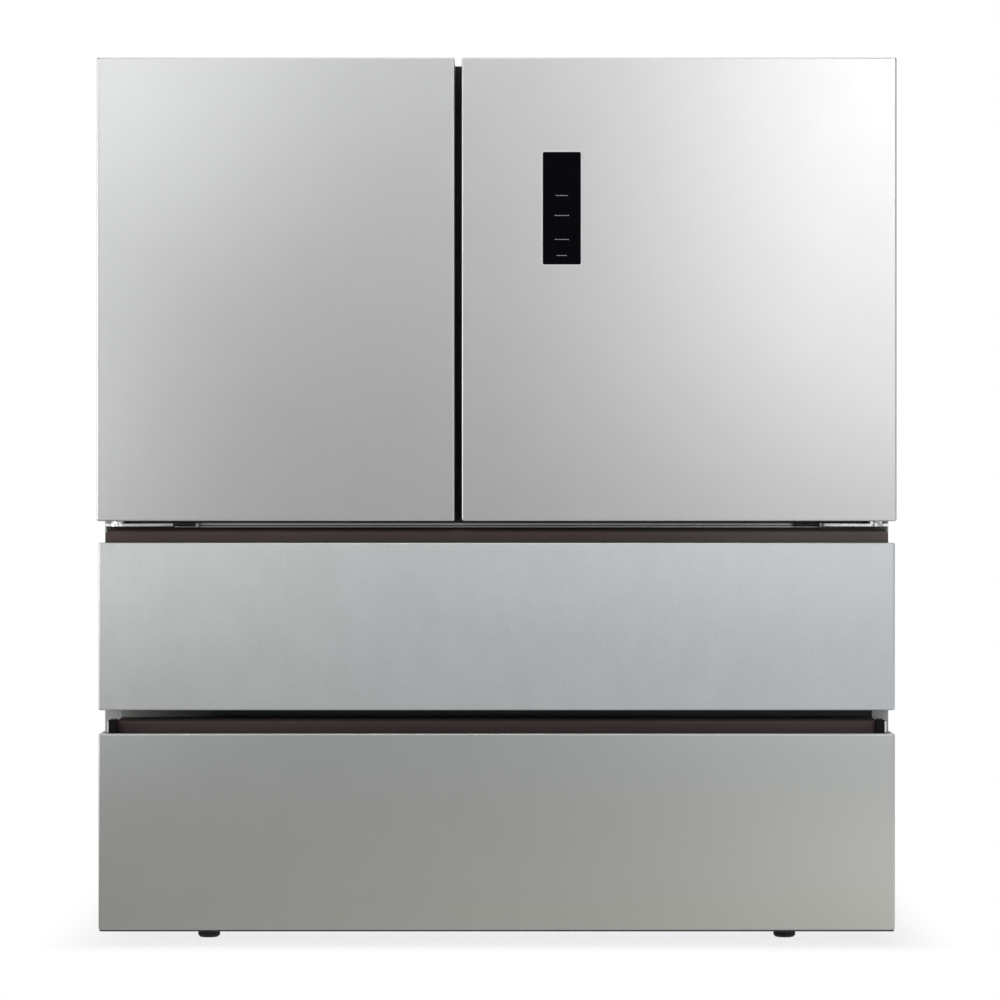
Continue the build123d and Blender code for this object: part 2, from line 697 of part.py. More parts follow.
def door_liner(side, x):
    """Moulded back of the door: a plate, two dikes and the lugs that the bins rest on."""
    liner = front_slab(x, DOOR_Z, SHEET) & block(x, (Y_SLAB - LINER_T, Y_SLAB), cap_bounds())
    low, high = dike_spans(side)
    dike_z = span((FRIDGE_FLOOR, FRIDGE_CEILING), -DIKE_END)
    for dike_x in (low, high):
        dike = block(dike_x, (Y_SLAB, Y_SLAB + DIKE_D), dike_z)
        liner += fillet(dike.faces().sort_by(Axis.Y)[-1].edges(), CORNER_R)
    for rise in BIN_RISES:
        lug_z = (FRIDGE_FLOOR + rise - LUG_H, FRIDGE_FLOOR + rise)
        liner += block((low[1], low[1] + LUG_W), (Y_SLAB, Y_SLAB + LUG_D), lug_z)
        liner += block((high[0] - LUG_W, high[0]), (Y_SLAB, Y_SLAB + LUG_D), lug_z)
    return liner


def door_bins(side):
    low, high = dike_spans(side)
    x = (low[1] + BIN_CLEAR, high[0] - BIN_CLEAR)
    y = (Y_SLAB + BIN_CLEAR, Y_SLAB + BIN_D)
    bins = []
    for rise in BIN_RISES:
        floor = FRIDGE_FLOOR + rise
        bins.append(tray(x, y, (floor, floor + BIN_H), BIN_WALL, BIN_R))
    return bins


def control_panel():
    glass = panel_block(0, (Y_FRONT, Y_FRONT + PANEL_T))
    housing = panel_block(-HOUSING_RIM, (Y_FRONT + PANEL_T, Y_FRONT + PANEL_T + HOUSING_D))
    return [glass, housing]


def drawer_skin(z):
    skin = front_slab(DRAWER_X, z) - front_slab(DRAWER_X, z, SHEET)
    inner = span(DRAWER_X, -SHEET)
    return skin - block(inner, (Y_FRONT + TRIM_LIP, Y_SLAB + 1), (z[1] - SHEET, z[1] + 1))


def channel_block(z):
    """Room in a drawer front for the handle channel."""
    y = (Y_FRONT + TRIM_LIP, Y_FRONT + TRIM_BACK)
    return block(DRAWER_X, y, (z[1] - TRIM_DEPTH - TRIM_T / 2, z[1] + 1))


def drawer_body(z, trim_w):
    body = front_slab(DRAWER_X, z, SHEET) - channel_block(z)
    half = trim_w / 2 - RIDGE_INSET
    ridge_y = (Y_FRONT + TRIM_BACK, Y_SLAB)
    ridge = block((-half, half), ridge_y, (z[1] - SHEET, z[1] + TRIM_RISE - TRIM_T))
    crest = ridge.edges().filter_by(Axis.X).group_by(Axis.Z)[-1].sort_by(Axis.Y)[0]
    return body + fillet(crest, TRIM_R - TRIM_T / 2)


def handle_trim(z, trim_w, cut):
    """Folded strip: hooked lip, finger channel, rear wall and the flat on top."""
    half = TRIM_T / 2
    y0 = Y_FRONT
    top = z[1] + TRIM_RISE - half
    points = (
        (y0 + TRIM_LIP + half, z[1] - half),
        (y0 + TRIM_LIP + half, z[1] - TRIM_DEPTH),
        (y0 + TRIM_BACK - half, z[1] - TRIM_DEPTH),
        (y0 + TRIM_BACK - half, top),
        (Y_SLAB, top),
    )
    path = FilletPolyline(*points, radius=TRIM_R)
    plane = Plane((-trim_w / 2, 0, 0), x_dir=(0, 1, 0), z_dir=(1, 0, 0))
    trim = extrude(plane * trace(path, TRIM_T), trim_w)
    x1 = trim_w / 2
    low = z[1] - 2 * TRIM_DEPTH
    high = z[1] + TRIM_RISE
    outline = ((-x1, low), (x1, low), (x1, high - cut), (x1 - cut, high), (cut - x1, high), (-x1, high - cut))
    return trim & prism_y(outline, (Y_FRONT, Y_SLAB))


def trim_end_cap(z):
    x0 = LOWER_TRIM_W / 2
    y = (Y_FRONT + TRIM_LIP, Y_FRONT + TRIM_BACK)
    cap = block((x0, x0 + END_CAP_W), y, (z[1] - TRIM_DEPTH - TRIM_T / 2, z[1] + TRIM_RISE))
    return fillet(cap.edges().filter_by(Axis.Y).group_by(Axis.Z)[-1], EDGE_R)


def drawer_gasket(z, low_inset):
    x = X_DOOR - GASKET_SIDE
    return gasket((-x, x), (z[0] + low_inset, z[1] - GASKET_INSET))


def rail_centre(bay):
    return bay[2][1] - LINER_R - RAIL_TOP - rail_half(0)


def rail_half(member):
    """Half height of the fixed (0), middle (1) or inner (2) runner member."""
    return RAIL_H / 2 - member * (RAIL_T + RAIL_CLEAR)


def channel(open_side, near, far, half, centre):
    """Outline of a runner channel that is open away from the wall (1) or to it (-1)."""
    web, lip = (near, far) if open_side > 0 else (far, near)
    inside = web + open_side * RAIL_T
    points = ((lip, half), (web, half), (web, -half), (lip, -half))
    points += ((lip, RAIL_T - half), (inside, RAIL_T - half), (inside, half - RAIL_T), (lip, half - RAIL_T))
    return [(X_IN - u, centre + v) for u, v in points]


def runner_depths():
    """Distance of each runner member's near and far side from the bay wall."""
    step = RAIL_T + RAIL_CLEAR
    return [(0.0, RAIL_W), (step, RAIL_W + RAIL_STEP), (2 * step, RAIL_W + 2 * RAIL_STEP + RAIL_T)]


def fixed_rail(bay, length):
    y = (Y_CAB + RAIL_SET, Y_CAB + RAIL_SET + length)
    return prism_y(channel(1, *runner_depths()[0], rail_half(0), rail_centre(bay)), y)


def mid_rail(bay, length):
    y = (Y_CAB + RAIL_SET, Y_CAB + RAIL_SET + length)
    return prism_y(channel(1, *runner_depths()[1], rail_half(1), rail_centre(bay)), y)


def drawer_rail(bay, length):
    """Inner member, with the ledge that carries the basket's rim."""
    centre = rail_centre(bay)
    far = X_IN - runner_depths()[2][1]
    y = (Y_SLAB, Y_CAB + RAIL_SET + length)
    top = centre + rail_half(2)
    rail = prism_y(channel(-1, *runner_depths()[2], rail_half(2), centre), y)
    return rail + block((far - LEDGE_W, far), y, (top - RAIL_T, top))


def basket(bay, length):
    inner = X_IN - runner_depths()[2][1]
    half = inner - LEDGE_W - BASKET_CLEAR
    rim_half = inner - BASKET_CLEAR
    y = (Y_SLAB + BASKET_FRONT, Y_CAB + RAIL_SET + length)
    rim_z = rail_centre(bay) + rail_half(2)
    floor = bay[2][0] + LINER_T + BASKET_FLOOR_GAP
    body = tray((-half, half), y, (floor, rim_z + BASKET_RIM), BASKET_WALL, BASKET_R)
    rim = rounded(block((-rim_half, rim_half), y, (rim_z, rim_z + BASKET_RIM)), Axis.Z, BASKET_R)
    hole_x = span((-half, half), -BASKET_WALL)
    hole = block(hole_x, span(y, -BASKET_WALL), span((rim_z, rim_z), 2 * BASKET_RIM))
    return body + (rim - rounded(hole, Axis.Z, BASKET_R - BASKET_WALL))


def shelf_places():
    """X span and top of each of the split shelves."""
    gap = SHELF_SPLIT / 2
    wall = X_IN - gap
    spans = ((-wall, -gap), (gap, wall))
    return [(x, FRIDGE_FLOOR + rise) for rise in SHELF_RISES for x in spans]


def shelf_y():
    return Y_CAB + SHELF_FRONT, FRIDGE_BACK - LADDER_T


def pane_block(x, top, y_grow):
    inset = SHELF_SIDE - SHELF_LEDGE
    y = shelf_y()
    pane_y = (y[0] + SHELF_BAR - SHELF_LEDGE, y[1] - inset)
    return block(span(x, -inset), pane_y, (top - SHELF_T, top + y_grow))


def shelf_frame(x, top):
    """Frame with a deep rounded front bar, a rebate for the glass and two rear brackets."""
    y = shelf_y()
    frame = block(x, y, (top - SHELF_FRAME_H, top))
    frame = fillet(frame.faces().sort_by(Axis.Y)[0].edges().filter_by(Axis.X), CORNER_R)
    hole_y = (y[0] + SHELF_BAR, y[1] - SHELF_SIDE)
    frame -= block(span(x, -SHELF_SIDE), hole_y, (top - SHELF_FRAME_H - 1, top + 1))
    frame -= pane_block(x, top, 1)
    low = top - SHELF_FRAME_H
    outline = ((y[0] + SHELF_BAR, low), (y[1], low - BRACKET_H), (y[1], low))
    for bracket_x in ((x[0], x[0] + BRACKET_T), (x[1] - BRACKET_T, x[1])):
        frame += prism_x(outline, bracket_x)
    return frame


def shelf_panes():
    panes = [pane_block(x, top, 0) for x, top in shelf_places()]
    top = FRIDGE_FLOOR + COVER_GLASS_RISE
    x = X_IN - SHELF_SPLIT / 2
    return panes + [block((-x, x), (Y_CAB + SHELF_FRONT, FRIDGE_BACK), (top, top + SHELF_T))]


def ladder_rails():
    """Slotted uprights on the fridge's back wall."""
    rails = []
    z = (FRIDGE_FLOOR + LADDER_RISE, FRIDGE_CEILING - DUCT_T - DUCT_H - LADDER_GAP)
    y = (FRIDGE_BACK - LADDER_T, FRIDGE_BACK)
    slots = int((z[1] - z[0]) / LADDER_SLOT_PITCH)
    for edge in (-X_IN + LADDER_W, 0.0, X_IN - LADDER_W):
        x = (edge - LADDER_W / 2, edge + LADDER_W / 2)
        rail = block(x, y, z)
        for step in range(slots):
            low = z[0] + (step + 0.5) * LADDER_SLOT_PITCH
            slot_y = (y[0] - 1, y[0] + LADDER_T / 2)
            rail -= block(span(x, -LADDER_W / 3), slot_y, (low, low + LADDER_SLOT_H))
        rails.append(rail)
    return rails


def crispers():
    """Two open drawers with a down-turned pull lip along the front."""
    y = (Y_CAB + SHELF_FRONT, Y_CAB + SHELF_FRONT + CRISPER_D)
    z = (FRIDGE_FLOOR, FRIDGE_FLOOR + CRISPER_H)
    front = y[0] - CRISPER_LIP_D
    inside = front + CRISPER_WALL
    low = z[1] - CRISPER_LIP_H
    under = z[1] - CRISPER_WALL
    lip = ((y[0], z[1]), (front, z[1]), (front, low), (inside, low), (inside, under), (y[0], under))
    drawers = []
    for x in (CRISPER_LEFT_X, CRISPER_RIGHT_X):
        drawers.append(tray(x, y, z, CRISPER_WALL, BIN_R) + prism_x(lip, span(x, -BIN_R)))
    return drawers


def vent_row(x, y, z, width, pitch):
    """Upright slots across a cover."""
    count = int((x[1] - x[0]) / pitch)
    start = middle(x) - (count - 1) * pitch / 2
    places = [start + step * pitch for step in range(count)]
    return [block((place - width / 2, place + width / 2), y, z) for place in places]


def air_covers():
    """Duct cover in the fridge and the evaporator cover in the upper bay."""
    z1 = FRIDGE_CEILING - DUCT_T
    y = (FRIDGE_BACK - DUCT_T, FRIDGE_BACK)
    duct = block((-DUCT_W / 2, DUCT_W / 2), y, (z1 - DUCT_H, z1))
    duct = fillet(duct.faces().sort_by(Axis.Y)[0].edges(), CORNER_R)
    slot_y = (y[0] - 1, y[0] + DUCT_T / 2)
    slot_z = (z1 - DUCT_H / 2 - VENT_W, z1 - DUCT_H / 2 + VENT_W)
    for slot in vent_row((-DUCT_W / 2, DUCT_W / 2), slot_y, slot_z, VENT_W, VENT_PITCH):
        duct -= slot
    face = evaporator_cover_y()
    cover = cavity(UPPER_BAY, LINER_T + GASKET_CLEAR) & block(CAVITY_X, face, UPPER_BAY[2])
    cover -= bar_y(FAN_X, span(face, 1), fan_z(), FAN_R + FAN_CLEAR)
    low = UPPER_FLOOR + LINER_R
    for slot in vent_row(EVAPORATOR_X, span(face, 1), (low, low + 2 * VENT_W), VENT_W, VENT_PITCH):
        cover -= slot
    return [duct, cover]


def evaporator_cover_y():
    front = Y_CAVITY - LINER_T - EVAPORATOR_COVER
    return front, front + EVAPORATOR_COVER_T


def fan_z():
    return middle(UPPER_BAY[2])


def lamp_lens():
    y = middle(FRIDGE[1]) - LAMP_D
    z = (FRIDGE_CEILING - LAMP_T, FRIDGE_CEILING)
    lens = block((-LAMP_W / 2, LAMP_W / 2), (y - LAMP_D / 2, y + LAMP_D / 2), z)
    lens = rounded(lens, Axis.Z, BIN_R)
    return fillet(lens.faces().sort_by(Axis.Z)[0].edges(), LAMP_T / 2)


def finned_coil(x, y, z, legs):
    """Comb of cooling fins on a spine, with return bends of the tube at one end and legs under it."""
    pitch = (x[1] - x[0] - COIL_FIN_T) / (COIL_FINS - 1)
    spine = (middle(y) - COIL_TUBE_R, middle(y) + COIL_TUBE_R)
    coil = block(x, spine, (z[0] + COIL_TUBE_R, z[1] - COIL_TUBE_R))
    for step in range(COIL_FINS):
        edge = x[0] + step * pitch
        coil += block((edge, edge + COIL_FIN_T), y, z)
    bend_r = (z[1] - z[0]) / 8
    for height in (z[0] + 2 * bend_r, z[1] - 2 * bend_r):
        circle = Plane((x[1], middle(y), height + bend_r), z_dir=(1, 0, 0)) * Circle(COIL_TUBE_R)
        coil += revolve(circle, Axis((x[1], middle(y), height), (0, 1, 0)), 180)
    for edge in (x[0], x[1] - COIL_FIN_T):
        if legs < z[0]:
            coil += block((edge, edge + COIL_FIN_T), y, (legs, z[0]))
    return coil


def evaporator():
    back = Y_CAVITY - LINER_T - COIL_TUBE_R
    z = (UPPER_FLOOR, UPPER_FLOOR + EVAPORATOR_H)
    return finned_coil(EVAPORATOR_X, (back - EVAPORATOR_D, back), z, UPPER_FLOOR)


def condenser():
    y = (MACHINE_Y - CONDENSER_D / 2, MACHINE_Y + CONDENSER_D / 2)
    low = BASE_Z + CONDENSER_RAISE
    return finned_coil(CONDENSER_X, y, (low, low + CONDENSER_H), BASE_Z)


def drip_tray():
    x = span(CONDENSER_X, -TRAY_WALL - COIL_FIN_T)
    y = (MACHINE_Y - CONDENSER_D / 2, MACHINE_Y + CONDENSER_D / 2)
    return tray(x, y, (BASE_Z, BASE_Z + TRAY_H), TRAY_WALL, CORNER_R)


def compressor():
    """Domed can on a foot plate with four grommets."""
    z0 = BASE_Z + COMPRESSOR_FOOT
    r = COMPRESSOR_R
    can = post(0, 0, (z0, z0 + COMPRESSOR_H), r)
    can = fillet(can.faces().sort_by(Axis.Z)[-1].edges(), COMPRESSOR_CROWN)
    can = fillet(can.faces().sort_by(Axis.Z)[0].edges(), COMPRESSOR_FOOT)
    plate = block((-r - BOSS_R, r + BOSS_R), (-r + BOSS_R, r - BOSS_R), (z0, z0 + BASE_T))
    body = can + rounded(plate, Axis.Z, BOSS_R)
    for x in (-r, r):
        for y in (-r + 2 * BOSS_R, r - 2 * BOSS_R):
            body += post(x, y, (BASE_Z, z0), BOSS_R)
    stub = bar_x((0, r + 2 * BOSS_R), 0, z0 + COMPRESSOR_H / 2, COIL_TUBE_R)
    return Pos(COMPRESSOR_X, MACHINE_Y, 0) * (body + stub)


def fan_wheel(radius):
    """Axial fan about +Z, with twisted blades and a shaft bore."""
    wheel = Pos(0, 0, FAN_W / 2) * Cylinder(FAN_HUB_R, FAN_W)
    wheel = fillet(wheel.faces().sort_by(Axis.Z)[0].edges(), PIN_END)
    root = FAN_HUB_R - PIN_END
    for step in range(FAN_BLADES):
        turn = step * 360 / FAN_BLADES
        sections = []
        for reach, pitch, chord in ((root, FAN_PITCH, FAN_W), (radius, FAN_PITCH / 2, 2 * FAN_W)):
            plane = Plane((reach, 0, FAN_W / 2), x_dir=(0, 1, 0), z_dir=(1, 0, 0))
            sections.append(plane * Rot(0, 0, pitch) * Rectangle(chord, RAIL_T))
        wheel += Rot(0, 0, turn) * loft(sections)
    return wheel - Pos(0, 0, FAN_W / 2) * Cylinder(SHAFT_R + RUN_CLEAR, 3 * FAN_W)


def motor():
    """Fan motor about +Z; its shaft ends at the wheel's front."""
    body = Pos(0, 0, -MOTOR_L / 2) * Cylinder(MOTOR_R, MOTOR_L)
    body = fillet(body.edges().filter_by(GeomType.CIRCLE), PIN_END)
    return body + Pos(0, 0, (FAN_W + FAN_CLEAR) / 2) * Cylinder(SHAFT_R, FAN_W + FAN_CLEAR)


def evaporator_fan_place():
    y = evaporator_cover_y()[1] + FAN_W + 2 * FAN_CLEAR
    return Pos(FAN_X, y, fan_z()) * Rot(90, 0, 0)


def cooling_fan_place():
    return Pos(COOLING_FAN_X, MACHINE_Y, COOLING_FAN_Z) * Rot(0, 90, 0)


def fans():
    lift = Pos(0, 0, FAN_CLEAR / 2)
    inner = evaporator_fan_place() * lift * fan_wheel(FAN_R)
    return inner, cooling_fan_place() * lift * fan_wheel(COOLING_FAN_R)


def fan_motors():
    inner = evaporator_fan_place() * motor()
    y0 = inner.bounding_box().max.Y
    inner += bar_y(FAN_X, (y0 - PIN_END * 2, Y_CAVITY - LINER_T), fan_z(), MOTOR_R / 2)
    outer = cooling_fan_place() * motor()
    x0 = COOLING_FAN_X - MOTOR_L / 2
    stand_y = (MACHINE_Y - MOTOR_R, MACHINE_Y + MOTOR_R)
    outer += block((x0 - BASE_T, x0 + BASE_T), stand_y, (BASE_Z, COOLING_FAN_Z))
    return [inner, outer]


def machine_wall():
    """Rear wall of the machine space, which the vented cover and the inlet plate close together."""
    half = X_CAB - SHEET - SEAL_MARGIN
    y = (Y_BACK - SHEET - REAR_COVER_T, Y_BACK - SHEET)
    return (-half, half), y, (BASE_Z + SEAL_MARGIN, Z_MACHINE + REAR_COVER_LAP)


def inlet_span():
    return (INLET_X - INLET_W / 2, INLET_X + INLET_W / 2), (INLET_Z - INLET_H / 2, INLET_Z + INLET_H / 2)


def inlet_plate_edge():
    return inlet_span()[0][1] + HEAD_R + INLET_EDGE


def rear_cover():
    wall_x, y, z = machine_wall()
    x = (inlet_plate_edge() + COVER_GAP, wall_x[1])
    cover = block(x, y, z)
    vent_x = span(x, -2 * REAR_FLANGE)
    gap = (z[1] - z[0] - VENT_ROWS * VENT_H) / (VENT_ROWS + 1)
    for row in range(VENT_ROWS):
        low = z[0] + gap + row * (VENT_H + gap)
        for slot in vent_row(vent_x, span(y, 1), (low, low + VENT_H), VENT_W, VENT_PITCH):
            cover -= slot
    return cover


def inlet_plate():
    wall_x, y, z = machine_wall()
    inlet_x, inlet_z = inlet_span()
    plate = block((wall_x[0], inlet_plate_edge()), y, z)
    return plate - block(inlet_x, span(y, 1), inlet_z)


def power_inlet():
    """Appliance inlet in its plate, with a flange and an open socket."""
    x, z = inlet_span()
    face = Y_BACK - SHEET
    body = block(span(x, -SCREW_CLEAR), (face - INLET_H, face), span(z, -SCREW_CLEAR))
    flange = block(span(x, HEAD_R), (face, face + SHEET), span(z, HEAD_R / 2))
    socket = block(span(x, -HEAD_R), (face - INLET_H / 2, face + 2 * SHEET), span(z, -HEAD_R))
    return body + flange - rounded(socket, Axis.Y, EDGE_R)


def save_cabinet():
    rails = cross_rails()
    save("outer_shell", outer_shell())
    save("back_panel", back_panel())
    save("base_frame", base_frame())
    save("foam_insulation", foam_insulation(rails))
    save("cross_rails", *rails)
    save("fridge_liner", fridge_liner())
    save("drawer_bay_liners", *bay_liners())
    save("centre_mullion", centre_mullion())
    for name, make in (
        ("top_hinges", top_hinge),
        ("hinge_covers", hinge_cover),
        ("mid_hinges", mid_hinge),
        ("door_stops", door_stop),
    ):
        left = make()
        save(name, left, mirrored(left))
    save("hinge_screws", *hinge_screws())


def save_fittings():
    save("shelf_frames", *[shelf_frame(x, top) for x, top in shelf_places()])
    save("glass_shelves", *shelf_panes())
    save("ladder_rails", *ladder_rails())
    save("crisper_drawers", *crispers())
    save("air_covers", *air_covers())
    save("lamp_lens", lamp_lens())


def save_cooling():
    inner_fan, outer_fan = fans()
    save("finned_coils", evaporator(), condenser())
    save("evaporator_fan", inner_fan)
    save("condenser_fan", outer_fan)
    save("compressor_and_fan_motors", compressor(), *fan_motors())
    save("drip_tray", drip_tray())
    save("rear_cover", rear_cover())
    save("inlet_plate", inlet_plate())
    save("power_inlet", power_inlet())


def save_running_gear():
    for name, side in (("left", -1), ("right", 1)):
        save(f"{name}_foot", levelling_foot(side))
        save(f"{name}_roller", roller(side))


def save_doors():
    for name, side, x in (("left_door", -1, LEFT_X), ("right_door", 1, RIGHT_X)):
        save(f"{name}_skin", door_skin(side, x))
        save(f"{name}_core", door_core(side, x))
        save(f"{name}_liner", door_liner(side, x))
        save(f"{name}_gasket", door_gasket(side, x))
        save(f"{name}_end_caps", *end_caps(side, x))
        save(f"{name}_bins", *door_bins(side))
    save("control_panel", *control_panel())


def save_drawers():
    drawers = (
        ("upper", UPPER_Z, UPPER_BAY, UPPER_RAIL_L, UPPER_TRIM_W, TRIM_CHAMFER, GASKET_INSET),
        ("lower", LOWER_Z, LOWER_BAY, LOWER_RAIL_L, LOWER_TRIM_W, PIN_END, LOWER_SEAL_INSET),
    )
    fixed = []
    for name, z, bay, length, trim_w, cut, low_inset in drawers:
        save(f"{name}_drawer_skin", drawer_skin(z))
        save(f"{name}_drawer_body", drawer_body(z, trim_w))
        save(f"{name}_drawer_gasket", drawer_gasket(z, low_inset))
        save(f"{name}_drawer_trim", handle_trim(z, trim_w, cut))
        save(f"{name}_drawer_basket", basket(bay, length))
        for node, rail in (("drawer_rails", drawer_rail), ("mid_rails", mid_rail)):
            member = rail(bay, length)
            save(f"{name}_{node}", member, mirrored(member))
        fixed.append(fixed_rail(bay, length))
    save("fixed_rails", *fixed, *[mirrored(rail) for rail in fixed])
    cap = trim_end_cap(LOWER_Z)
    save("lower_drawer_trim_caps", cap, mirrored(cap))


def main():
    os.makedirs("parts", exist_ok=True)
    save_cabinet()
    save_fittings()
    save_cooling()
    save_running_gear()
    save_doors()
    save_drawers()


main()
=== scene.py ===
import math

import bmesh
import bpy
from mathutils import Matrix, Vector


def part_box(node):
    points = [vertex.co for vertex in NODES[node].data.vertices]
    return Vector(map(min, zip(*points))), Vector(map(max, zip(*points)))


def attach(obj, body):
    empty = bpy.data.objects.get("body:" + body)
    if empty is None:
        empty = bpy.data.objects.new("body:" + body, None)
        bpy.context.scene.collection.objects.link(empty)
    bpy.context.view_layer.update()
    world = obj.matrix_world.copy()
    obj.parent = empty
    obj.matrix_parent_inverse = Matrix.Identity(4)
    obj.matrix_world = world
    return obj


# Looks of the counter-height refrigerator, in metres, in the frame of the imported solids.
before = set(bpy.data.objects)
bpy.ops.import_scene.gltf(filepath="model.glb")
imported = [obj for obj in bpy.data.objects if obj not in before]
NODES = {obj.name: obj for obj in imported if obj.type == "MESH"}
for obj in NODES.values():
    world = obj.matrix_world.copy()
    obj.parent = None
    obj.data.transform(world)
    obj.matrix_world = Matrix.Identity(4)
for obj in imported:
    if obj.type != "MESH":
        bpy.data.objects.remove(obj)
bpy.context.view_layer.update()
SCENE = bpy.context.scene

# Photograph's camera: level, in front of the middle of the fronts
LENS_MM = 129.25
SENSOR_MM = 36.0
CAMERA_PLACE = (0.0038, -4.46, 0.5098)

# Studio floor: half sizes of its full part, how far it thins out, how dense it is, its gap under the feet
FLOOR_HALF = (0.45, 0.34)
FLOOR_FADE = 0.09
FLOOR_COVER = 0.20
FLOOR_DROP = 0.0003
FLOOR_PALE = (0.86, 0.86, 0.86, 1.0)

# Studio room: its strength low in front, at the left and at the right, and its strength behind
ROOM_FRONT = (0.196, 0.917)
ROOM_BACK = 0.6

# Soft lamps in front of the part: name, place, aim on the plane of the fronts, width and height, watts
FRONT_Y = -0.36
LAMPS = (
    ("upper_left_box", (-0.75, -2.6, 1.35), (-0.3, FRONT_Y, 0.9), (0.4, 0.4), 3.1),
    ("left_side_box", (-0.95, -1.9, 0.55), (-0.4, FRONT_Y, 0.45), (0.3, 0.6), 2.3),
    ("upper_right_box", (0.75, -2.6, 1.45), (0.3, FRONT_Y, 0.9), (0.4, 0.5), 3.8),
    ("middle_right_box", (0.80, -3.5, 0.95), (0.2, FRONT_Y, 0.7), (0.5, 0.7), 5.6),
    ("right_side_box", (0.85, -2.6, 0.50), (0.42, FRONT_Y, 0.5), (0.4, 0.25), 0.8),
    ("low_right_box", (0.9, -2.2, -0.35), (0.42, FRONT_Y, 0.06), (0.6, 0.3), 0.9),
    ("wide_top_box", (0.0, -1.5, 1.45), (0.0, FRONT_Y, 0.45), (2.4, 0.3), 2.8),
    ("left_edge_box", (-2.1, -1.25, 0.75), (-0.45, FRONT_Y, 0.6), (0.8, 1.5), 20.0),
    ("top_edge_box", (0.0, -0.75, 2.1), (0.0, FRONT_Y, 1.0), (1.6, 0.6), 10.0),
)

# Directions
FORWARD, REARWARD, SIDEWAYS, UPWARD = (0, -1, 0), (0, 1, 0), (1, 0, 0), (0, 0, 1)

# Sizes of small pieces that follow the solids
PANEL_MARKS = ((0.8575, 6), (0.8347, 7), (0.8073, 7), (0.7890, 5))  # height of each row, dashes in it
MARK_R = 0.00045
MARK_PITCH = 0.0024
MARK_SHARE = 0.45  # of a pitch that a dash takes
MARK_SUNK = 0.0002
RIM_CORNER = 0.0021
RIM_PROFILE = ((-0.0002, 0.0006), (-0.0002, -0.0002), (0.0002, -0.0004),
               (0.0008, -0.0004), (0.0012, -0.0002), (0.0013, 0.0006))  # outward, back from the glass face
SCREW_HEADS = {"mid_hinge": (0.0052, 0.0026), "vent_cover": (0.0045, 0.0022),
               "rear_flange": (0.0038, 0.0018)}  # radius, rise
HINGE_FACE_Y = -0.291
HINGE_SCREW_RISE = 0.0085  # above the lower edge of the mid hinges
HINGE_SCREW_EDGE = 0.013  # from the end of a hinge or a stop
STOP_WIDTH = 0.028
GRIP_COUNT = 24
BASKET_HALF = 0.3815  # from the middle to the outside of a basket's wall
BIN_HEIGHT = 0.092
BIN_CORNER = 0.012
SHELF_TOPS = (0.7415, 0.8475)
CORNER_STEPS = 5
BEVEL_STEPS = 3

# Colours, linear
LEFT_STEEL = (0.577, 0.589, 0.584)
RIGHT_STEEL = (0.585, 0.585, 0.584)
UPPER_STEELS = ((0.608, 0.627, 0.621), (0.602, 0.630, 0.654))  # left end, right end
LOWER_STEELS = ((0.560, 0.561, 0.520), (0.543, 0.561, 0.555))  # lower edge, upper edge
# Handle trims: colour at the left end and at the right end; the paler right end is painted light.
UPPER_TRIMS = ((0.084, 0.060, 0.057), (0.125, 0.099, 0.095))  # left end, right end
LOWER_TRIMS = ((0.066, 0.042, 0.041), (0.078, 0.055, 0.055))
RIB_DARK_AND_SHADOW, RIB_PALE = (0.035, 0.034, 0.033), (0.62, 0.615, 0.605)
# Black facing of the lower rails: a dark sheet standing in for the shade deep in the lower gaps.
LOWER_GAP_SHADE_BLACK = (0.0095, 0.009, 0.0085)
CABINET_GREY = (0.520, 0.532, 0.520)
LINER_WHITE = (0.80, 0.815, 0.82)

# Where the looks of the cross rails and handle trims change, in metres in the frame
ACROSS = (-0.45, 0.45)
# Painted light along the handle trims: where it starts and where it is brightest.
TRIM_LIGHT_STOPS = (-0.44, 0.10, 0.40)  # left end, where it starts to pale, where it is palest
RAIL_SPLIT = (0.40, 0.41)  # height between the lower rails and the upper one
RIB_SPAN = (0.474, 0.486)
# Bands up the upper rail's face: the dark band at the top is painted shadow under the doors, the dark band at
# the bottom is painted shadow above the handle trim, and a thin dark line parts the two pale ribs.
RIB_EDGES = ((0.4778, RIB_DARK_AND_SHADOW), (0.4784, RIB_PALE), (0.4794, RIB_PALE), (0.4798, RIB_DARK_AND_SHADOW),
             (0.4803, RIB_DARK_AND_SHADOW), (0.4808, RIB_PALE), (0.4826, RIB_PALE), (0.4834, RIB_DARK_AND_SHADOW))
# Painted light and shade along the upper rail: brighter at its left end, dimmer towards the right.
RIB_PAINTED_SHADING = ((-0.30, (1.30,) * 3), (0.0, (0.97,) * 3), (0.40, (0.38,) * 3))
# Painted light at the left end of the lower rails' facing, fading into the black towards the middle.
LEFT_LIGHT_SPAN = (-0.44, -0.30)
LEFT_LIGHT_STOPS = ((-0.434, (0.36, 0.37, 0.35)), (-0.366, (0.13, 0.133, 0.127)), (-0.32, LOWER_GAP_SHADE_BLACK))
STEEL_RELIEF = 0.0004  # depth of the steel's grain for each unit of its strength


def put(tree, kind, inputs=None, **settings):
    """Adds a node; an input is a value or the output socket that feeds it."""
    made = tree.nodes.new(kind)
    for key, value in settings.items():
        setattr(made, key, value)
    for key, value in (inputs or {}).items():
        socket = made.inputs[key]
        if isinstance(value, bpy.types.NodeSocket):
            tree.links.new(value, socket)
        else:
            socket.default_value = value
    return made


def surface(name, sockets):
    """A material with one shader, its constants set on the shader's own sockets."""
    material = bpy.data.materials.new(name)
    material.use_nodes = True
    tree = material.node_tree
    shader = tree.nodes["Principled BSDF"]
    for key, value in sockets.items():
        shader.inputs[key].default_value = (*value, 1.0) if isinstance(value, tuple) else value
    return material, tree, shader


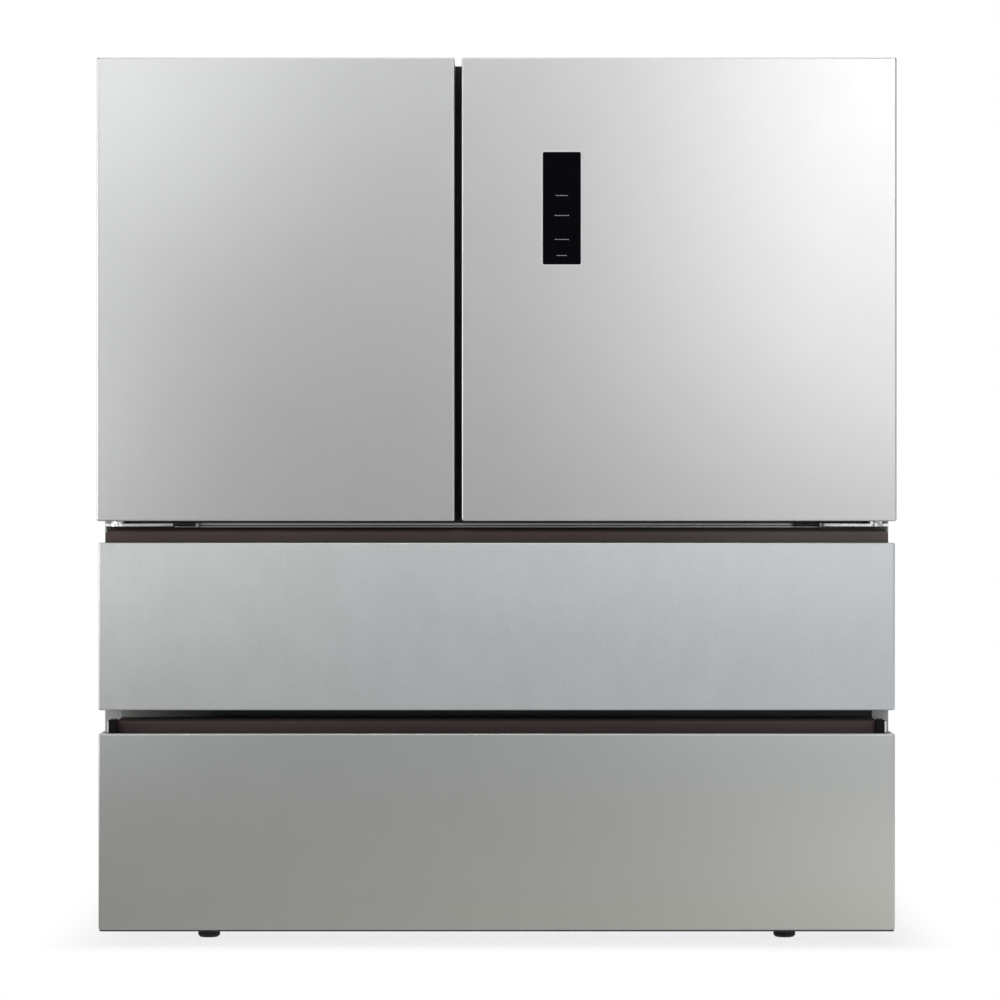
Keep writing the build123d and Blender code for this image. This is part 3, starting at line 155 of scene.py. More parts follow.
def feed(tree, shader, **fields):
    """Links pattern fields to the shader: colour, roughness, normal."""
    names = {"colour": "Base Color", "roughness": "Roughness", "normal": "Normal"}
    for key, field in fields.items():
        tree.links.new(field, shader.inputs[names[key]])


def placed(tree, stretch=(1, 1, 1), shift=(0, 0, 0)):
    """A point's place on the part, stretched and shifted."""
    coords = put(tree, "ShaderNodeTexCoord").outputs["Object"]
    mapping = put(tree, "ShaderNodeMapping", {"Vector": coords, "Scale": stretch, "Location": shift})
    return mapping.outputs["Vector"]


def coordinates(tree, shift=(0, 0, 0)):
    """A point's X, Y and Z."""
    return put(tree, "ShaderNodeSeparateXYZ", {"Vector": placed(tree, shift=shift)}).outputs


def vector(tree, x, y, z):
    return put(tree, "ShaderNodeCombineXYZ", {"X": x, "Y": y, "Z": z}).outputs[0]


def mottle(tree, scale, stretch=(1, 1, 1), detail=2.0, roughness=0.5):
    inputs = {"Vector": placed(tree, stretch), "Scale": scale, "Detail": detail, "Roughness": roughness}
    return put(tree, "ShaderNodeTexNoise", inputs).outputs["Fac"]


def cells(tree, scale, output="Distance", feature="F1"):
    inputs = {"Vector": placed(tree), "Scale": scale}
    return put(tree, "ShaderNodeTexVoronoi", inputs, feature=feature).outputs[output]


def between(tree, field, low, high, start=0.3, end=0.7, easing="LINEAR"):
    """Goes from low to high while the field goes from start to end."""
    inputs = {"Value": field, "From Min": start, "From Max": end, "To Min": low, "To Max": high}
    return put(tree, "ShaderNodeMapRange", inputs, interpolation_type=easing).outputs["Result"]


def shaded(colour, share):
    return tuple(part * share for part in colour)


def grey(value):
    return (value,) * 3


def tones(tree, field, dark, light, start=0.3, end=0.7):
    """Goes from one colour to another while the field goes from start to end."""
    ramp = put(tree, "ShaderNodeValToRGB", {"Fac": field})
    first, last = ramp.color_ramp.elements
    first.position, last.position = start, end
    first.color, last.color = (*dark, 1.0), (*light, 1.0)
    return ramp.outputs["Color"]


def shades(tree, field, colour, dark, light, start=0.3, end=0.7):
    """Goes from a dark share of one colour to a light share of it."""
    return tones(tree, field, shaded(colour, dark), shaded(colour, light), start, end)


def bands(tree, field, span, stops):
    """Tones that change at several stops within a span of the field; a stop is (value, colour)."""
    start, end = span
    ramp = put(tree, "ShaderNodeValToRGB", {"Fac": between(tree, field, 0.0, 1.0, start, end)})
    elements = ramp.color_ramp.elements
    while len(elements) < len(stops):
        elements.new(1.0)
    for element, (value, colour) in zip(elements, stops):
        element.position = (value - start) / (end - start)
        element.color = (*colour, 1.0)
    return ramp.outputs["Color"]


def reckon(tree, operation, a, b):
    return put(tree, "ShaderNodeMath", {0: a, 1: b}, operation=operation).outputs["Value"]


def blend(tree, main, other, share):
    """A sum of two fields, the other one with the given share."""
    parts = (reckon(tree, "MULTIPLY", main, 1 - share), reckon(tree, "MULTIPLY", other, share))
    return reckon(tree, "ADD", *parts)


def product(tree, first, second):
    """Two colours multiplied."""
    return put(tree, "ShaderNodeVectorMath", {0: first, 1: second}, operation="MULTIPLY").outputs["Vector"]


def relief(tree, height, depth, under=None):
    inputs = {"Height": height, "Distance": depth, "Strength": 1.0}
    if under is not None:
        inputs["Normal"] = under
    return put(tree, "ShaderNodeBump", inputs).outputs["Normal"]


def satin_steel(name, ends, along, reach, grain, clouds, rough, bow):
    """Satin stainless sheet with short upright grain. Its tint drifts between two ends along X or Z over a
    reach; bow is the middle height and radius of a crowned front."""
    material, tree, shader = surface(name, {"Metallic": 1.0, "Roughness": rough})
    streaks = mottle(tree, 1.0, stretch=(820, 820, 150), detail=3.0, roughness=0.6)
    bloom = mottle(tree, 34.0, stretch=(1, 1, 0.55), detail=3.0, roughness=0.55)
    field = blend(tree, streaks, bloom, clouds)
    shade = tones(tree, field, grey(1 - grain), grey(1 + grain), start=0.36, end=0.64)
    place = coordinates(tree)[along]
    drift = tones(tree, between(tree, place, 0.0, 1.0, *reach), *ends, start=0.0, end=1.0)
    height, radius = bow
    across = coordinates(tree, shift=(0, 0, -height))["Z"]
    crown = reckon(tree, "MULTIPLY", reckon(tree, "MULTIPLY", across, across), -0.5 / radius)
    normal = relief(tree, crown, 1.0, under=relief(tree, streaks, STEEL_RELIEF * grain))
    feed(tree, shader, colour=product(tree, drift, shade), normal=normal,
         roughness=between(tree, field, rough - 0.025, rough + 0.025))
    return material


def textured_paint(name, colour, rough=0.42):
    """Pre-coated sheet with a fine leather-like emboss."""
    material, tree, shader = surface(name, {"Roughness": rough, "Specular IOR Level": 0.45})
    pebble = cells(tree, 620.0, feature="SMOOTH_F1")
    tint = mottle(tree, 9.0, detail=4.0)
    height = reckon(tree, "ADD", pebble, reckon(tree, "MULTIPLY", mottle(tree, 1400.0), 0.4))
    feed(tree, shader, colour=shades(tree, tint, colour, 0.98, 1.02),
         roughness=between(tree, pebble, rough + 0.08, rough - 0.06, start=0.1, end=0.7),
         normal=relief(tree, height, 0.00022))
    return material


def galvanised(name, colour=(0.50, 0.515, 0.525)):
    """Zinc-coated sheet with its spangle and a few rolling marks."""
    material, tree, shader = surface(name, {"Metallic": 0.85})
    spangle = cells(tree, 75.0, "Color")
    crystal = put(tree, "ShaderNodeSeparateColor", {"Color": spangle}).outputs["Red"]
    marks = mottle(tree, 1.0, stretch=(6, 6, 900))
    field = blend(tree, crystal, marks, 0.4)
    feed(tree, shader, colour=shades(tree, field, colour, 0.89, 1.10, start=0.15, end=0.85),
         roughness=between(tree, crystal, 0.34, 0.52, start=0.0, end=1.0),
         normal=relief(tree, marks, 0.00002))
    return material


def zinc_plate(name, colour=(0.74, 0.75, 0.745), along=(1, 1, 1), shadow_below=None):
    """Bright zinc on pressed steel, with faint drawing lines; below a height a painted shadow darkens it."""
    material, tree, shader = surface(name, {"Metallic": 1.0})
    lines = mottle(tree, 1.0, stretch=tuple(600 * part for part in along), detail=3.0)
    bloom = mottle(tree, 60.0, detail=4.0)
    shade = shades(tree, bloom, colour, 0.88, 1.05)
    # Painted shadow under the plate: below this height the colour is made dark.
    if shadow_below:
        reach, edge = 0.002, 0.0003
        painted_shadow = bands(tree, coordinates(tree)["Z"], (shadow_below - reach, shadow_below + reach),
                     ((shadow_below - edge, grey(0.07)), (shadow_below + edge, grey(1.0))))
        shade = product(tree, shade, painted_shadow)
    feed(tree, shader, colour=shade, roughness=between(tree, lines, 0.24, 0.40),
         normal=relief(tree, lines, 0.00002))
    return material


def moulded(name, colour, rough, grain_depth=0.00006, grain_scale=1100.0, specular=0.5):
    """Injection-moulded plastic: fine eroded grain, slight shade drift, sheen varying with the flow."""
    material, tree, shader = surface(name, {"Specular IOR Level": specular})
    flow = mottle(tree, 6.0, stretch=(1, 1, 1.7), detail=3.0)
    grain = mottle(tree, grain_scale, detail=3.0, roughness=0.65)
    feed(tree, shader, colour=shades(tree, flow, colour, 0.94, 1.04),
         roughness=between(tree, flow, rough - 0.04, rough + 0.05), normal=relief(tree, grain, grain_depth))
    return material


def clear_moulding(name, colour, rough=0.09, weight=0.82, glow=0.0):
    """Clear, faintly tinted plastic with flow ripples; a lamp lens also glows."""
    material, tree, shader = surface(name, {"Transmission Weight": weight, "IOR": 1.46,
                                            "Emission Color": (1.0, 0.97, 0.92), "Emission Strength": glow})
    ripple = mottle(tree, 42.0, stretch=(1, 1, 0.5), detail=3.0)
    feed(tree, shader, colour=shades(tree, ripple, colour, 0.97, 1.02),
         roughness=between(tree, ripple, rough, rough + 0.06), normal=relief(tree, ripple, 0.00012))
    return material


def sheet_glass(name, colour=(0.87, 0.955, 0.935)):
    """Clear shelf glass with a slight green tint and a haze of wiping."""
    material, tree, shader = surface(name, {"Transmission Weight": 0.94, "IOR": 1.5})
    haze = mottle(tree, 14.0, detail=5.0)
    feed(tree, shader, colour=shades(tree, haze, colour, 0.98, 1.01),
         roughness=between(tree, haze, 0.015, 0.07))
    return material


def soft_seal(name, colour=(0.145, 0.147, 0.15)):
    """Extruded seal with fine lengthwise draw lines and a dusty bloom."""
    material, tree, shader = surface(name, {"Specular IOR Level": 0.35})
    bloom = mottle(tree, 45.0, detail=5.0)
    lines = mottle(tree, 1.0, stretch=(90, 1500, 90))
    feed(tree, shader, colour=shades(tree, bloom, colour, 0.88, 1.12),
         roughness=between(tree, bloom, 0.55, 0.70), normal=relief(tree, lines, 0.00008))
    return material


def anodised_trim(name, ends):
    """Dark brown handle strip, drawn along its length, with painted light making it paler towards its right
    end.
    """
    material, tree, shader = surface(name, {"Metallic": 0.35, "Specular IOR Level": 0.4})
    drawn = mottle(tree, 1.0, stretch=(7, 900, 900), detail=3.0)
    left, right = ends
    right_end_light = bands(tree, coordinates(tree)["X"], ACROSS, tuple(zip(TRIM_LIGHT_STOPS, (left, left, right))))
    shade = tones(tree, mottle(tree, 5.0, detail=3.0), grey(0.92), grey(1.08))
    feed(tree, shader, colour=product(tree, right_end_light, shade), roughness=between(tree, drawn, 0.40, 0.50),
         normal=relief(tree, drawn, 0.000015))
    return material


def rail_face(name):
    """Cross rails: a bright ribbed sheet above the upper drawer, with painted shadow in dark bands under the
    doors and above the handle trim, and painted shade dimming it to the right; below it black facing that
    stands in for the shade in the lower gaps, with painted light at its left end."""
    material, tree, shader = surface(name, {"Specular IOR Level": 0.4})
    place = coordinates(tree)
    bare = between(tree, place["Z"], 0.0, 1.0, *RAIL_SPLIT)
    ribs = product(tree, bands(tree, place["Z"], RIB_SPAN, RIB_EDGES),
                   bands(tree, place["X"], ACROSS, RIB_PAINTED_SHADING))
    # Painted light at the left end of the black facing.
    left_light = bands(tree, place["X"], LEFT_LIGHT_SPAN, LEFT_LIGHT_STOPS)
    colour = put(tree, "ShaderNodeMix", {"Factor": bare, "A": left_light, "B": ribs}, data_type="RGBA")
    lines = mottle(tree, 1.0, stretch=(12, 700, 700), detail=3.0)
    tree.links.new(bare, shader.inputs["Metallic"])
    feed(tree, shader, colour=colour.outputs["Result"], roughness=between(tree, lines, 0.16, 0.26),
         normal=relief(tree, lines, 0.000008))
    return material


def black_glass(name):
    """Back-painted touch glass, almost clean, with a reflection-damping layer."""
    material, tree, shader = surface(name, {"Base Color": (0.0022, 0.0022, 0.0040),
                                            "Specular IOR Level": 0.05})
    touch = mottle(tree, 75.0, detail=6.0, roughness=0.6)
    feed(tree, shader, roughness=between(tree, touch, 0.08, 0.18))
    return material


def printed_ink(name, colour):
    """Pale ink laid in fine dots."""
    material, tree, shader = surface(name, {"Specular IOR Level": 0.3})
    dots = mottle(tree, 2400.0)
    feed(tree, shader, colour=shades(tree, dots, colour, 0.85, 1.05), roughness=between(tree, dots, 0.5, 0.6))
    return material


def fin_stock(name, colour=(0.72, 0.73, 0.74)):
    """Thin bare aluminium with upright lines."""
    material, tree, shader = surface(name, {"Metallic": 1.0})
    lines = mottle(tree, 1.0, stretch=(400, 400, 30), detail=3.0)
    feed(tree, shader, colour=shades(tree, lines, colour, 0.8, 1.05),
         roughness=between(tree, lines, 0.30, 0.48), normal=relief(tree, lines, 0.00003))
    return material


def enamel(name, colour=(0.012, 0.012, 0.013)):
    """Thick black lacquer with orange peel and a little dust."""
    material, tree, shader = surface(name, {"Coat Weight": 0.6, "Coat Roughness": 0.12})
    peel = mottle(tree, 320.0, detail=1.0)
    dust = mottle(tree, 22.0, detail=6.0)
    feed(tree, shader, colour=shades(tree, dust, colour, 1.0, 2.6, start=0.45, end=0.8),
         roughness=between(tree, dust, 0.28, 0.5), normal=relief(tree, peel, 0.0001))
    return material


def rigid_foam(name, colour=(0.78, 0.63, 0.36)):
    """Yellow foam with fine open pores."""
    material, tree, shader = surface(name, {"Specular IOR Level": 0.2})
    pores = cells(tree, 900.0)
    feed(tree, shader, colour=shades(tree, pores, colour, 0.75, 1.05, start=0.1, end=0.6),
         roughness=between(tree, pores, 0.8, 0.95), normal=relief(tree, pores, 0.0004))
    return material


DOOR_STEELS = {
    door: satin_steel(f"{door}_satin_steel", (colour, colour), "X", reach,
                      grain=0.012, clouds=0.2, rough=0.37, bow=(0.75, 8.0))
    for door, colour, reach in (("left_door", LEFT_STEEL, (-0.46, -0.05)),
                                ("right_door", RIGHT_STEEL, (-0.04, 0.46)))}
UPPER_STEEL = satin_steel("upper_drawer_satin_steel", UPPER_STEELS, "X", (-0.40, 0.40),
                          grain=0.040, clouds=0.4, rough=0.46, bow=(0.365, 1.1))
LOWER_STEEL = satin_steel("lower_drawer_satin_steel", LOWER_STEELS, "Z", (0.05, 0.22),
                          grain=0.014, clouds=0.2, rough=0.37, bow=(0.24, 2.0))
SHELL_PAINT = textured_paint("cabinet_grey_paint", CABINET_GREY)
RAIL_FACE = rail_face("cross_rail_face")
GALVANISED = galvanised("galvanised_sheet")
ZINC = zinc_plate("hinge_zinc")
MID_ZINC = zinc_plate("mid_hinge_zinc", (0.86, 0.865, 0.86), shadow_below=0.4795)
RUNNER = zinc_plate("runner_zinc", (0.60, 0.61, 0.615), along=(1, 0.02, 1))
FOAM = rigid_foam("cabinet_foam")
LINER = moulded("liner_white", LINER_WHITE, rough=0.34, grain_depth=0.00003, grain_scale=500.0)
FITTING_WHITE = moulded("fitting_white", shaded(LINER_WHITE, 0.97), rough=0.40)
BLACK_MOULDING = moulded("black_moulding", (0.012, 0.012, 0.0115), rough=0.44)
STRIP_BLACK = moulded("mullion_black", (0.0072, 0.0066, 0.0054), rough=0.40, specular=0.3)
CAP_BLACK = moulded("trim_cap_black", (0.0042, 0.0041, 0.0039), rough=0.35, specular=0.12)
FOOT_BLACK = moulded("foot_black", (0.010, 0.010, 0.010), rough=0.55, grain_depth=0.0001, grain_scale=700.0)
ROLLER_NYLON = moulded("roller_nylon", (0.03, 0.03, 0.032), rough=0.48)
CAP_GREY = moulded("end_cap_grey", (0.135, 0.137, 0.140), rough=0.46)
BODY_GREY = moulded("drawer_body_grey", (0.115, 0.117, 0.120), rough=0.46)
COVER_GREY = moulded("hinge_cover_grey", (0.115, 0.117, 0.122), rough=0.42)
BIN_CLEAR = clear_moulding("bin_clear", (0.90, 0.945, 0.965))
BIN_EDGE = moulded("bin_edge_white", (0.72, 0.76, 0.78), rough=0.32)
BASKET_CLEAR = clear_moulding("basket_clear", (0.91, 0.945, 0.96), rough=0.16, weight=0.62)
LAMP_OPAL = clear_moulding("lamp_opal", (0.96, 0.965, 0.95), rough=0.42, weight=0.45, glow=1.6)
GLASS = sheet_glass("shelf_glass_green")
SEAL = soft_seal("seal_grey")
TRIMS = {"upper_drawer": anodised_trim("upper_handle_brown", UPPER_TRIMS),
         "lower_drawer": anodised_trim("lower_handle_brown", LOWER_TRIMS)}
PANEL = black_glass("panel_black_glass")
MARK_INK = printed_ink("panel_mark_ink", (0.42, 0.43, 0.45))
BRIGHT_RIM = zinc_plate("bright_strip", (0.86, 0.86, 0.85))
PANEL_RIM = moulded("panel_rim_pale", (0.72, 0.725, 0.73), rough=0.25, grain_depth=0.00001)
FIN = fin_stock("fin_aluminium")
ENAMEL = enamel("machine_enamel")

COATS = {
    "outer_shell": SHELL_PAINT, "back_panel": GALVANISED, "base_frame": GALVANISED,
    "foam_insulation": FOAM, "cross_rails": RAIL_FACE, "fridge_liner": LINER, "drawer_bay_liners": LINER,
    "centre_mullion": STRIP_BLACK, "top_hinges": ZINC, "hinge_covers": COVER_GREY, "mid_hinges": MID_ZINC,
    "door_stops": BLACK_MOULDING, "hinge_screws": ZINC,
    "shelf_frames": FITTING_WHITE, "glass_shelves": GLASS, "ladder_rails": FITTING_WHITE,
    "crisper_drawers": BIN_CLEAR, "air_covers": FITTING_WHITE, "lamp_lens": LAMP_OPAL,
    "finned_coils": FIN, "evaporator_fan": BLACK_MOULDING, "condenser_fan": BLACK_MOULDING,
    "compressor_and_fan_motors": ENAMEL, "drip_tray": BLACK_MOULDING, "rear_cover": GALVANISED,
    "inlet_plate": BLACK_MOULDING, "power_inlet": BLACK_MOULDING,
    "left_foot": FOOT_BLACK, "right_foot": FOOT_BLACK,
    "left_roller": ROLLER_NYLON, "right_roller": ROLLER_NYLON,
    "control_panel": PANEL, "lower_drawer_trim_caps": CAP_BLACK,
    "fixed_rails": RUNNER, "upper_mid_rails": RUNNER, "lower_mid_rails": RUNNER,
}
for door in ("left_door", "right_door"):
    COATS.update({f"{door}_skin": DOOR_STEELS[door], f"{door}_core": FOAM, f"{door}_liner": LINER,
                  f"{door}_gasket": SEAL, f"{door}_end_caps": CAP_GREY, f"{door}_bins": BIN_CLEAR})
for drawer, steel in (("upper_drawer", UPPER_STEEL), ("lower_drawer", LOWER_STEEL)):
    COATS.update({f"{drawer}_skin": steel, f"{drawer}_body": BODY_GREY, f"{drawer}_gasket": SEAL,
                  f"{drawer}_trim": TRIMS[drawer], f"{drawer}_basket": BASKET_CLEAR,
                  f"{drawer}_rails": RUNNER})
for node, coat in COATS.items():
    for place in NODES[node].material_slots:
        place.material = coat


# Repeated small pieces grown with geometry nodes on bare points
def growing_tree(name, inputs):
    """A geometry tree with named inputs and a coat; returns it with its input and output sockets."""
    tree = bpy.data.node_groups.new(name, "GeometryNodeTree")
    kinds = {"size": "NodeSocketFloat", "way": "NodeSocketVector", "coat": "NodeSocketMaterial"}
    tree.interface.new_socket("Places", in_out="INPUT", socket_type="NodeSocketGeometry")
    for label, kind in {**inputs, "Coat": "coat"}.items():
        tree.interface.new_socket(label, in_out="INPUT", socket_type=kinds[kind])
    tree.interface.new_socket("Pieces", in_out="OUTPUT", socket_type="NodeSocketGeometry")
    return tree, tree.nodes.new("NodeGroupInput").outputs, tree.nodes.new("NodeGroupOutput").inputs


def set_out(tree, given, result, instance, turn):
    """Puts the instance on every place, makes it real and coats it."""
    laid = put(tree, "GeometryNodeInstanceOnPoints",
               {"Points": given["Places"], "Instance": instance, "Rotation": turn}).outputs[0]
    real = put(tree, "GeometryNodeRealizeInstances", {"Geometry": laid}).outputs[0]
    coated = put(tree, "GeometryNodeSetMaterial", {"Geometry": real, "Material": given["Coat"]}).outputs[0]
    tree.links.new(coated, result["Pieces"])


def moved(tree, mesh, **change):
    return put(tree, "GeometryNodeTransform", {"Geometry": mesh, **change}).outputs[0]


def joined(tree, operation, parts, base=None):
    """Parts made one mesh, or cut from a base."""
    inputs = {} if base is None else {"Mesh 1": base}
    solid = put(tree, "GeometryNodeMeshBoolean", inputs, operation=operation)
    for part in parts:
        tree.links.new(part, solid.inputs["Mesh 2"])
    return solid.outputs["Mesh"]


def facing(tree, way):
    return put(tree, "FunctionNodeAlignRotationToVector", {"Vector": way}, axis="Z").outputs["Rotation"]


def cross_screw_tree():
    """Domed screw heads with a cross recess, each turned by its own amount."""
    tree, given, result = growing_tree("cross_screws", {"Radius": "size", "Rise": "size", "Facing": "way"})
    radius, rise = given["Radius"], given["Rise"]
    ball = put(tree, "GeometryNodeMeshUVSphere", {"Segments": 20, "Rings": 10, "Radius": 1.0}).outputs["Mesh"]
    dome = moved(tree, ball, Scale=vector(tree, radius, radius, rise))
    lift = vector(tree, 0.0, 0.0, rise)
    long = reckon(tree, "MULTIPLY", radius, 1.15)
    thin = reckon(tree, "MULTIPLY", radius, 0.24)
    deep = reckon(tree, "MULTIPLY", rise, 1.1)
    slots = []
    for across, along in ((long, thin), (thin, long)):
        size = vector(tree, across, along, deep)
        cube = put(tree, "GeometryNodeMeshCube", {"Size": size}).outputs["Mesh"]
        slots.append(moved(tree, cube, Translation=lift))
    head = joined(tree, "DIFFERENCE", slots, base=dome)
    spin = put(tree, "FunctionNodeRandomValue", {2: 0.0, 3: math.pi, "Seed": 7}, data_type="FLOAT").outputs[1]
    own = put(tree, "FunctionNodeAxisAngleToRotation", {"Axis": UPWARD, "Angle": spin}).outputs[0]
    pair = {"Rotation": facing(tree, given["Facing"]), "Rotate By": own}
    turn = put(tree, "FunctionNodeRotateRotation", pair, rotation_space="LOCAL").outputs[0]
    set_out(tree, given, result, head, turn)
    return tree


def round_bar_tree():
    """Round-ended bars laid along one direction: ribs, marks and grip lines."""
    tree, given, result = growing_tree("round_bars", {"Radius": "size", "Length": "size", "Along": "way"})
    radius, length = given["Radius"], given["Length"]
    rod = {"Vertices": 12, "Side Segments": 1, "Fill Segments": 1, "Radius": radius, "Depth": length}
    parts = [put(tree, "GeometryNodeMeshCylinder", rod).outputs["Mesh"]]
    for end in (-0.5, 0.5):
        ball = put(tree, "GeometryNodeMeshUVSphere", {"Segments": 12, "Rings": 6, "Radius": radius})
        place = vector(tree, 0.0, 0.0, reckon(tree, "MULTIPLY", length, end))
        parts.append(moved(tree, ball.outputs["Mesh"], Translation=place))
    set_out(tree, given, result, joined(tree, "UNION", parts), facing(tree, given["Along"]))
    return tree


CROSS_SCREWS = cross_screw_tree()
ROUND_BARS = round_bar_tree()


def grown(name, tree, places, body, slot, **values):
    """Runs a tree on the places and leaves one plain mesh that rides on a body."""
    mesh = bpy.data.meshes.new(name + "_places")
    mesh.from_pydata(places, [], [])
    piece = bpy.data.objects.new(name, mesh)
    SCENE.collection.objects.link(piece)
    growth = piece.modifiers.new("growth", "NODES")
    growth.node_group = tree
    for item in tree.interface.items_tree:
        if item.name in values:
            growth[item.identifier] = values[item.name]
    depsgraph = bpy.context.evaluated_depsgraph_get()
    plain = bpy.data.meshes.new_from_object(piece.evaluated_get(depsgraph), depsgraph=depsgraph)
    piece.modifiers.remove(growth)
    piece.data = plain
    plain.name = name
    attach(piece, body)


def shown(name, mesh, body, coat):
    """Turns a finished bmesh into a coated piece that rides on a body."""
    data = bpy.data.meshes.new(name)
    mesh.to_mesh(data)
    mesh.free()
    piece = bpy.data.objects.new(name, data)
    SCENE.collection.objects.link(piece)
    data.materials.append(coat)
    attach(piece, body)


def rounded_rectangle(x, z, radius):
    """Corner-rounded loop in the XZ plane, with the outward direction at each point."""
    loop = []
    corners = ((x[1] - radius, z[1] - radius, 0), (x[0] + radius, z[1] - radius, 90),
               (x[0] + radius, z[0] + radius, 180), (x[1] - radius, z[0] + radius, 270))
    for cx, cz, start in corners:
        for step in range(CORNER_STEPS + 1):
            angle = math.radians(start + 90 * step / CORNER_STEPS)
            way = (math.cos(angle), math.sin(angle))
            loop.append(((cx + radius * way[0], cz + radius * way[1]), way))
    return loop


def frame_strip(name, x, z, radius, profile, body, coat):
    """A strip with one cross-section, swept round a rectangle: profile holds (outward, y) points."""
    mesh = bmesh.new()
    rings = []
    for (px, pz), way in rounded_rectangle(x, z, radius):
        rings.append([mesh.verts.new((px + out * way[0], y, pz + out * way[1])) for out, y in profile])
    for ring, after in zip(rings, rings[1:] + rings[:1]):
        for step in range(len(profile)):
            following = (step + 1) % len(profile)
            mesh.faces.new((ring[step], ring[following], after[following], after[step]))
    bmesh.ops.recalc_face_normals(mesh, faces=mesh.faces)
    shown(name, mesh, body, coat)


def rounded_bar(name, low, high, radius, body, coat):
    """A strip or lip with all its edges rounded."""
    mesh = bmesh.new()
    bmesh.ops.create_cube(mesh, size=1.0)
    size = Vector(high) - Vector(low)
    bmesh.ops.transform(mesh, matrix=Matrix.Translation((Vector(low) + Vector(high)) / 2)
                        @ Matrix.Diagonal((*size, 1.0)), verts=mesh.verts)
    bmesh.ops.bevel(mesh, geom=mesh.edges[:], offset=radius, segments=BEVEL_STEPS, profile=0.5,
                    affect="EDGES")
    shown(name, mesh, body, coat)


def spread(first, last, pitch):
    """Evenly spaced values from first to last, about one pitch apart."""
    count = max(1, round((last - first) / pitch))
    return [first + (last - first) * step / count for step in range(count + 1)]


def touch_panel():
    """Pale rim round the black glass, and plain light dashes where its keys are."""
    low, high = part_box("control_panel")
    face = low.y
    profile = [(out, face + back) for out, back in RIM_PROFILE]
    frame_strip("panel_rim", (low.x, high.x), (low.z, high.z), RIM_CORNER, profile, "right_door",
                PANEL_RIM)
    middle = (low.x + high.x) / 2
    dashes = [(middle + (step - (count - 1) / 2) * MARK_PITCH, face + MARK_SUNK, height)
              for height, count in PANEL_MARKS for step in range(count)]
    grown("panel_marks", ROUND_BARS, dashes, "right_door", "panel_glass", Radius=MARK_R,
          Length=MARK_PITCH * MARK_SHARE, Along=SIDEWAYS, Coat=MARK_INK)


def screws(row, places, way):
    """One row of cross-recessed heads on the cabinet, all facing one way."""
    radius, rise = SCREW_HEADS[row]
    grown(f"{row}_screws", CROSS_SCREWS, places, "cabinet", "zinc_hinge", Radius=radius, Rise=rise,
          Facing=way, Coat=ZINC)


def screw_rows():
    """Screws in the mid hinges, along the vent cover and round the shell's rear flange."""
    hinge_low, hinge_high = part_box("mid_hinges")
    stop_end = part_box("door_stops")[1].x
    row_z = hinge_low.z + HINGE_SCREW_RISE
    ends = (hinge_high.x - HINGE_SCREW_EDGE, stop_end + HINGE_SCREW_EDGE)
    screws("mid_hinge", [(side * x, HINGE_FACE_Y, row_z) for side in (-1, 1) for x in ends], FORWARD)
    low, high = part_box("rear_cover")
    inset, end_gap, pitch = 0.009, 0.03, 0.14
    across = spread(low.x + end_gap, high.x - end_gap, pitch)
    screws("vent_cover", [(x, high.y, z) for z in (low.z + inset, high.z - inset) for x in across], REARWARD)
    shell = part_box("outer_shell")[1]
    inset, lowest, top_gap, reach, pitch = 0.007, 0.30, 0.06, 0.40, 0.16
    upright = [(side * (shell.x - inset), shell.y, z) for side in (-1, 1)
               for z in spread(lowest, shell.z - top_gap, pitch)]
    lying = [(x, shell.y, shell.z - inset) for x in spread(-reach, reach, pitch)]
    screws("rear_flange", upright + lying, REARWARD)


def stop_pegs():
    """A white peg at the right-hand end of each door stop."""
    low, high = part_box("door_stops")
    half, proud, deep, drop, edge = 0.0014, 0.0050, 0.0060, 0.0012, 0.0008
    for name, x in (("left", low.x + STOP_WIDTH), ("right", high.x)):
        rounded_bar(f"{name}_stop_peg", (x - half, low.y - proud, low.z - drop),
                    (x + half, low.y + deep, high.z - drop), edge, "cabinet", FITTING_WHITE)


def cap_highlight_strips():
    """Painted highlight: bright strips up the outer side of the lower handle's end caps, where their edges
    catch the light.
    """
    low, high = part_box("lower_drawer_trim_caps")
    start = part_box("lower_drawer_skin")[1].z + 0.0008
    half, proud, deep, top_gap, edge = 0.0010, 0.0006, 0.0040, 0.0020, 0.0006
    for name, x in (("left", low.x), ("right", high.x)):
        rounded_bar(f"{name}_cap_highlight_strip", (x - half, low.y - proud, start),
                    (x + half, low.y + deep, high.z - top_gap), edge, "lower_drawer",
                    BRIGHT_RIM)


def bottom_shade_strip():
    """Painted shade: a dark strip along the lower edge of the lower drawer front, where that edge mirrors the
    dark underside.
    """
    low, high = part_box("lower_drawer_skin")
    end_gap, front_gap, depth, drop, lap, edge = 0.0012, 0.0006, 0.0140, 0.0010, 0.0004, 0.0004
    rounded_bar("lower_drawer_drip_edge", (low.x + end_gap, low.y + front_gap, low.z - drop),
                (high.x - end_gap, low.y + depth, low.z + lap), edge, "lower_drawer",
                BLACK_MOULDING)


def foot_grips():
    """Upright grip ribs round each levelling foot."""
    rib_z = 0.0045
    for name in ("left_foot", "right_foot"):
        low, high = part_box(name)
        middle = (low + high) / 2
        radius = (high.x - low.x) / 2
        turns = [2 * math.pi * step / GRIP_COUNT for step in range(GRIP_COUNT)]
        places = [(middle.x + radius * math.cos(turn), middle.y + radius * math.sin(turn), rib_z)
                  for turn in turns]
        grown(f"{name}_grip", ROUND_BARS, places, name, "black_plastic", Radius=0.0008, Length=0.0040,
              Along=UPWARD, Coat=FOOT_BLACK)


